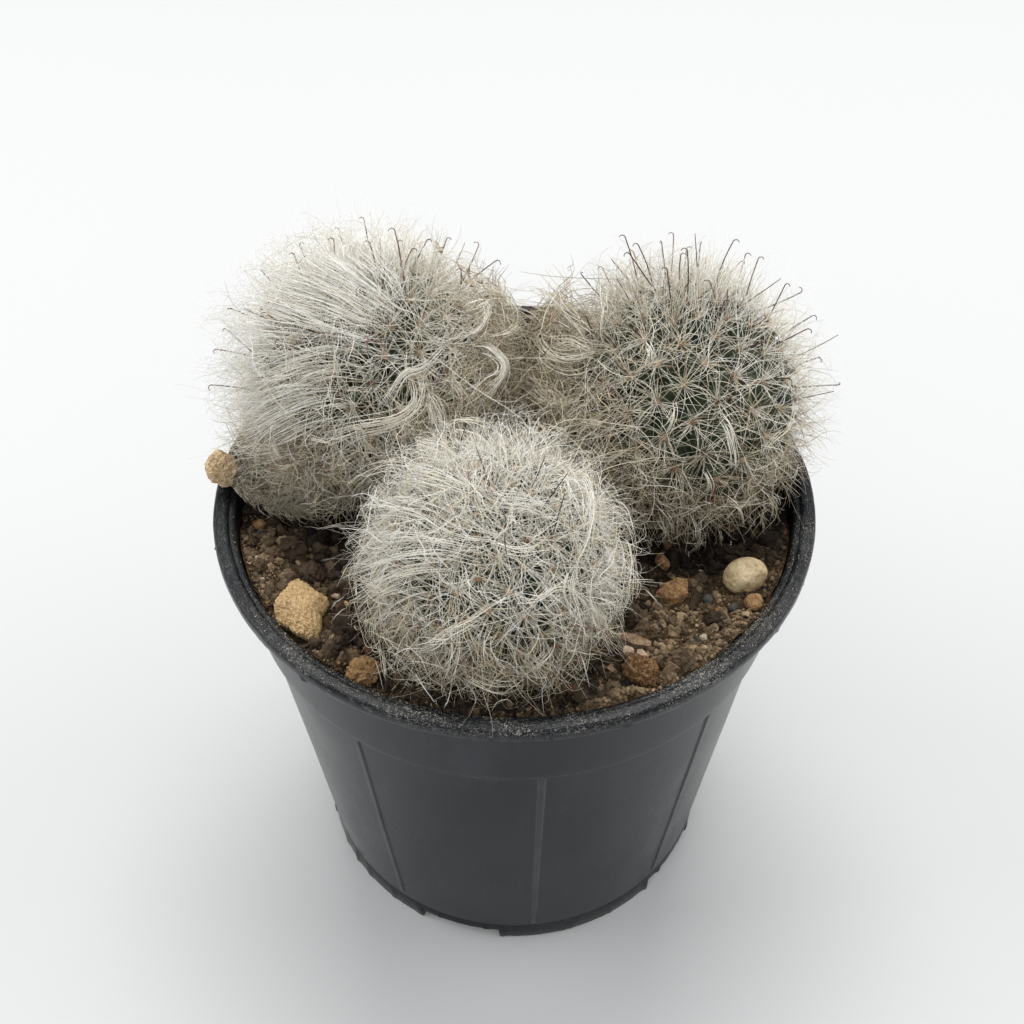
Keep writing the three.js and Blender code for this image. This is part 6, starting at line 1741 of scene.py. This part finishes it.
def build_hooks():
    hooks = Strands(5)
    rg = np.random.default_rng(600)
    taken = set()
    f2 = FOCAL

    def project(P):
        v = P - CAM
        z = v @ FWD
        return np.stack([512 + f2 * (v @ RIGHT) / z, 512 - f2 * (v @ UP) / z], -1)

    for key, lst in HOOKS.items():
        h = HEADS[key]
        roots = h["c"] + h["dirs"] * (h["R"] - 0.1)
        for tip, top, base, tint, bend in lst:
            tip, top, base = np.array(tip), np.array(top), np.array(base)
            if bend == 0:
                top, tip = (top, tip)
            best = None
            r = ray(*top)
            for k in range(len(roots)):
                if h["theta"][k] > 120:
                    continue
                for L in (6.5, 7.5, 8.5, 9.5, 10.5):
                    oc = CAM - roots[k]
                    b = oc @ r
                    disc = b * b - (oc @ oc - L * L)
                    if disc < 0:
                        continue
                    for t in (-b - math.sqrt(disc), -b + math.sqrt(disc)):
                        T = CAM + t * r
                        d = unit(T - roots[k])
                        c = float(d @ h["dirs"][k])
                        if c < 0.25:
                            continue
                        pr = project(np.array([roots[k]]))[0]
                        seg = top - pr
                        u = unit(seg)
                        off = base - pr
                        miss = abs(off[0] * u[1] - off[1] * u[0])
                        along = off @ u
                        cost = miss * 1.0 + 10 * (1 - c) + (3 if along < -2 else 0) + 0.35 * abs(L - 8.5) + (4 if (key, k) in taken else 0)
                        if best is None or cost < best[0]:
                            best = (cost, k, d, L)
            if best is None:
                continue
            cost, k, d, L = best
            taken.add((key, k))
            w = tip - top
            across = unit(w[0] * RIGHT - w[1] * UP)
            across = unit(across - (across @ d) * d)
            if bend:
                P = hook_path(roots[k], d, across, L - bend, bend * 1.05, rg.uniform(-0.35, 0.1), 165)
            else:
                P = roots[k] + d * (L * np.linspace(0, 1, 8))[:, None] + across * (0.25 * np.sin(math.pi * np.linspace(0, 1, 8)))[:, None]
            K = len(P)
            hooks.add(P, 0.115 * (1 - 0.60 * np.linspace(0, 1, K)) + 0.015, int(tint))
    # the rest of them, also on the sides that the photograph does not show
    for key, h in HEADS.items():
        rg = np.random.default_rng(h["seed"] + 500)
        to_cam = unit(CAM - h["c"])
        for i in range(2, h["n"]):
            th = h["theta"][i]
            n = h["dirs"][i]
            seen = float(n @ to_cam) > -0.05
            chance = np.interp(th, [0, 50, 100], [0.8, 0.65, 0.15]) * {"right": 1.0, "left": 0.8, "front": 0.3}[key] * (0.30 if seen else 1.0)
            if (key, i) in taken or rg.random() > chance:
                continue
            out = unit(n + 0.22 * rg.normal(size=3))
            across = unit(np.cross(out, rg.normal(size=3)))
            across = unit(across - 0.5 * n)
            across = unit(across - (across @ out) * out)
            root = h["c"] + n * (h["R"] - 0.1)
            L = rg.uniform(6.5, 8.8) * (0.86 if key == "front" else 1.0)
            if seen:
                L *= 0.85
            P = hook_path(root, out, across, L, rg.uniform(0.42, 0.6), rg.uniform(-0.3, 0.3))
            if not all(np.linalg.norm(P - o["c"], axis=1).min() > o["R"] + 1.5 for k2, o in HEADS.items() if k2 != key):
                continue
            if (P[:, 2] < 84).any():
                continue
            hooks.add(P, 0.115 * (1 - 0.60 * np.linspace(0, 1, len(P))) + 0.015, int(rg.choice([0, 1, 2, 3, 5, 6, 8, 9], p=[.18, .22, .2, .12, .1, .06, .06, .06])))
    hooks.build("hooked_spines", HOOK, "cactus", len(HOOK_TIPS))


build_hooks()


# felt tufts on the areoles
def build_areoles():
    V0, F0 = ICO[2]
    rg = np.random.default_rng(91)
    W, F, UV, base = [], [], [], 0
    for h in HEADS.values():
        N = h["dirs"]
        T1, T2 = frames_at(N)
        for i in range(h["n"]):
            s = 0.58 * rg.uniform(0.8, 1.2)
            lump = 1 + rg.uniform(-0.22, 0.22, len(V0))
            q = V0 * lump[:, None]
            P = h["c"] + N[i] * (h["R"] + 0.12) + s * (q[:, :1] * T1[i] + q[:, 1:2] * T2[i]) + 0.7 * s * q[:, 2:3] * N[i]
            t = int(rg.integers(0, len(FELT)))
            W.append(P)
            F.append(F0 + base)
            uv = np.broadcast_to(np.array([[0.25, 0.1], [0.75, 0.1], [0.5, 0.9]]), (len(F0), 3, 2)).copy()
            uv[..., 0] = (uv[..., 0] + t) / len(FELT)
            UV.append(uv)
            base += len(V0)
    make_mesh("areole_felt", np.concatenate(W), np.concatenate(F), FELT_MAT, smooth=True, uv=np.concatenate(UV).reshape(-1, 2))


build_areoles()

# dried petals and a shrivelled bud caught in the hair near the top of the left globe
def petal_material():
    m = Mat("dried_petal_mat", 0.8, 0.2)
    n1 = m.noise(700.0, 4.0, 0.65)
    n2 = m.noise(2600.0, 3.0, 0.7)
    colour = m.ramp(n1, [(0.3, srgb(124, 106, 88)), (0.5, srgb(172, 156, 134)), (0.7, srgb(208, 196, 176))])
    colour = m.mix(m.span(n2, 0.55, 0.75, 0.0, 0.4), colour, srgb(96, 74, 58))
    return m.out(colour, 0.8, m.bump(n2, 0.6, 0.0002))


PETALS = [(462, 270, 1.6, 0.45), (469, 276, 1.8, 0.5), (477, 281, 1.9, 0.5), (484, 287, 1.6, 0.5), (490, 293, 1.8, 0.45), (497, 301, 1.5, 0.4), (472, 286, 1.5, 0.4), (486, 298, 1.4, 0.4), (465, 281, 1.3, 0.4),
          (438, 247, 0.9, 0.6), (440, 252, 0.8, 0.4), (268, 304, 0.7, 0.35), (262, 309, 0.6, 0.3)]


def build_petals():
    V0, F0 = ICO[3]
    rg = np.random.default_rng(929)
    noise = Perlin(930)
    h = HEADS["left"]
    Vs, Fs, base = [], [], 0
    for j, (px, py, a, b) in enumerate(PETALS):
        c = on_sphere(px, py, h["c"], h["R"] + 5.4)
        n = unit(c - h["c"] + 6 * rg.normal(size=3))
        t1 = unit(np.cross(n, rg.normal(size=3)))
        t2 = np.cross(n, t1)
        thick = 0.10
        q = V0 * np.array([a, b, thick])
        q = q * (1 + 0.35 * noise(V0 * 1.7 + 3.3 * j))[:, None]
        q[:, 2] += 0.6 * (q[:, 0] / a) ** 2 + 0.28 * noise(V0 * 2.6 + 9.1 * j)
        Vs.append(c + q[:, :1] * t1 + q[:, 1:2] * t2 + q[:, 2:3] * n)
        Fs.append(F0 + base)
        base += len(V0)
    make_mesh("dried_petals", np.concatenate(Vs), np.concatenate(Fs), petal_material())


build_petals()
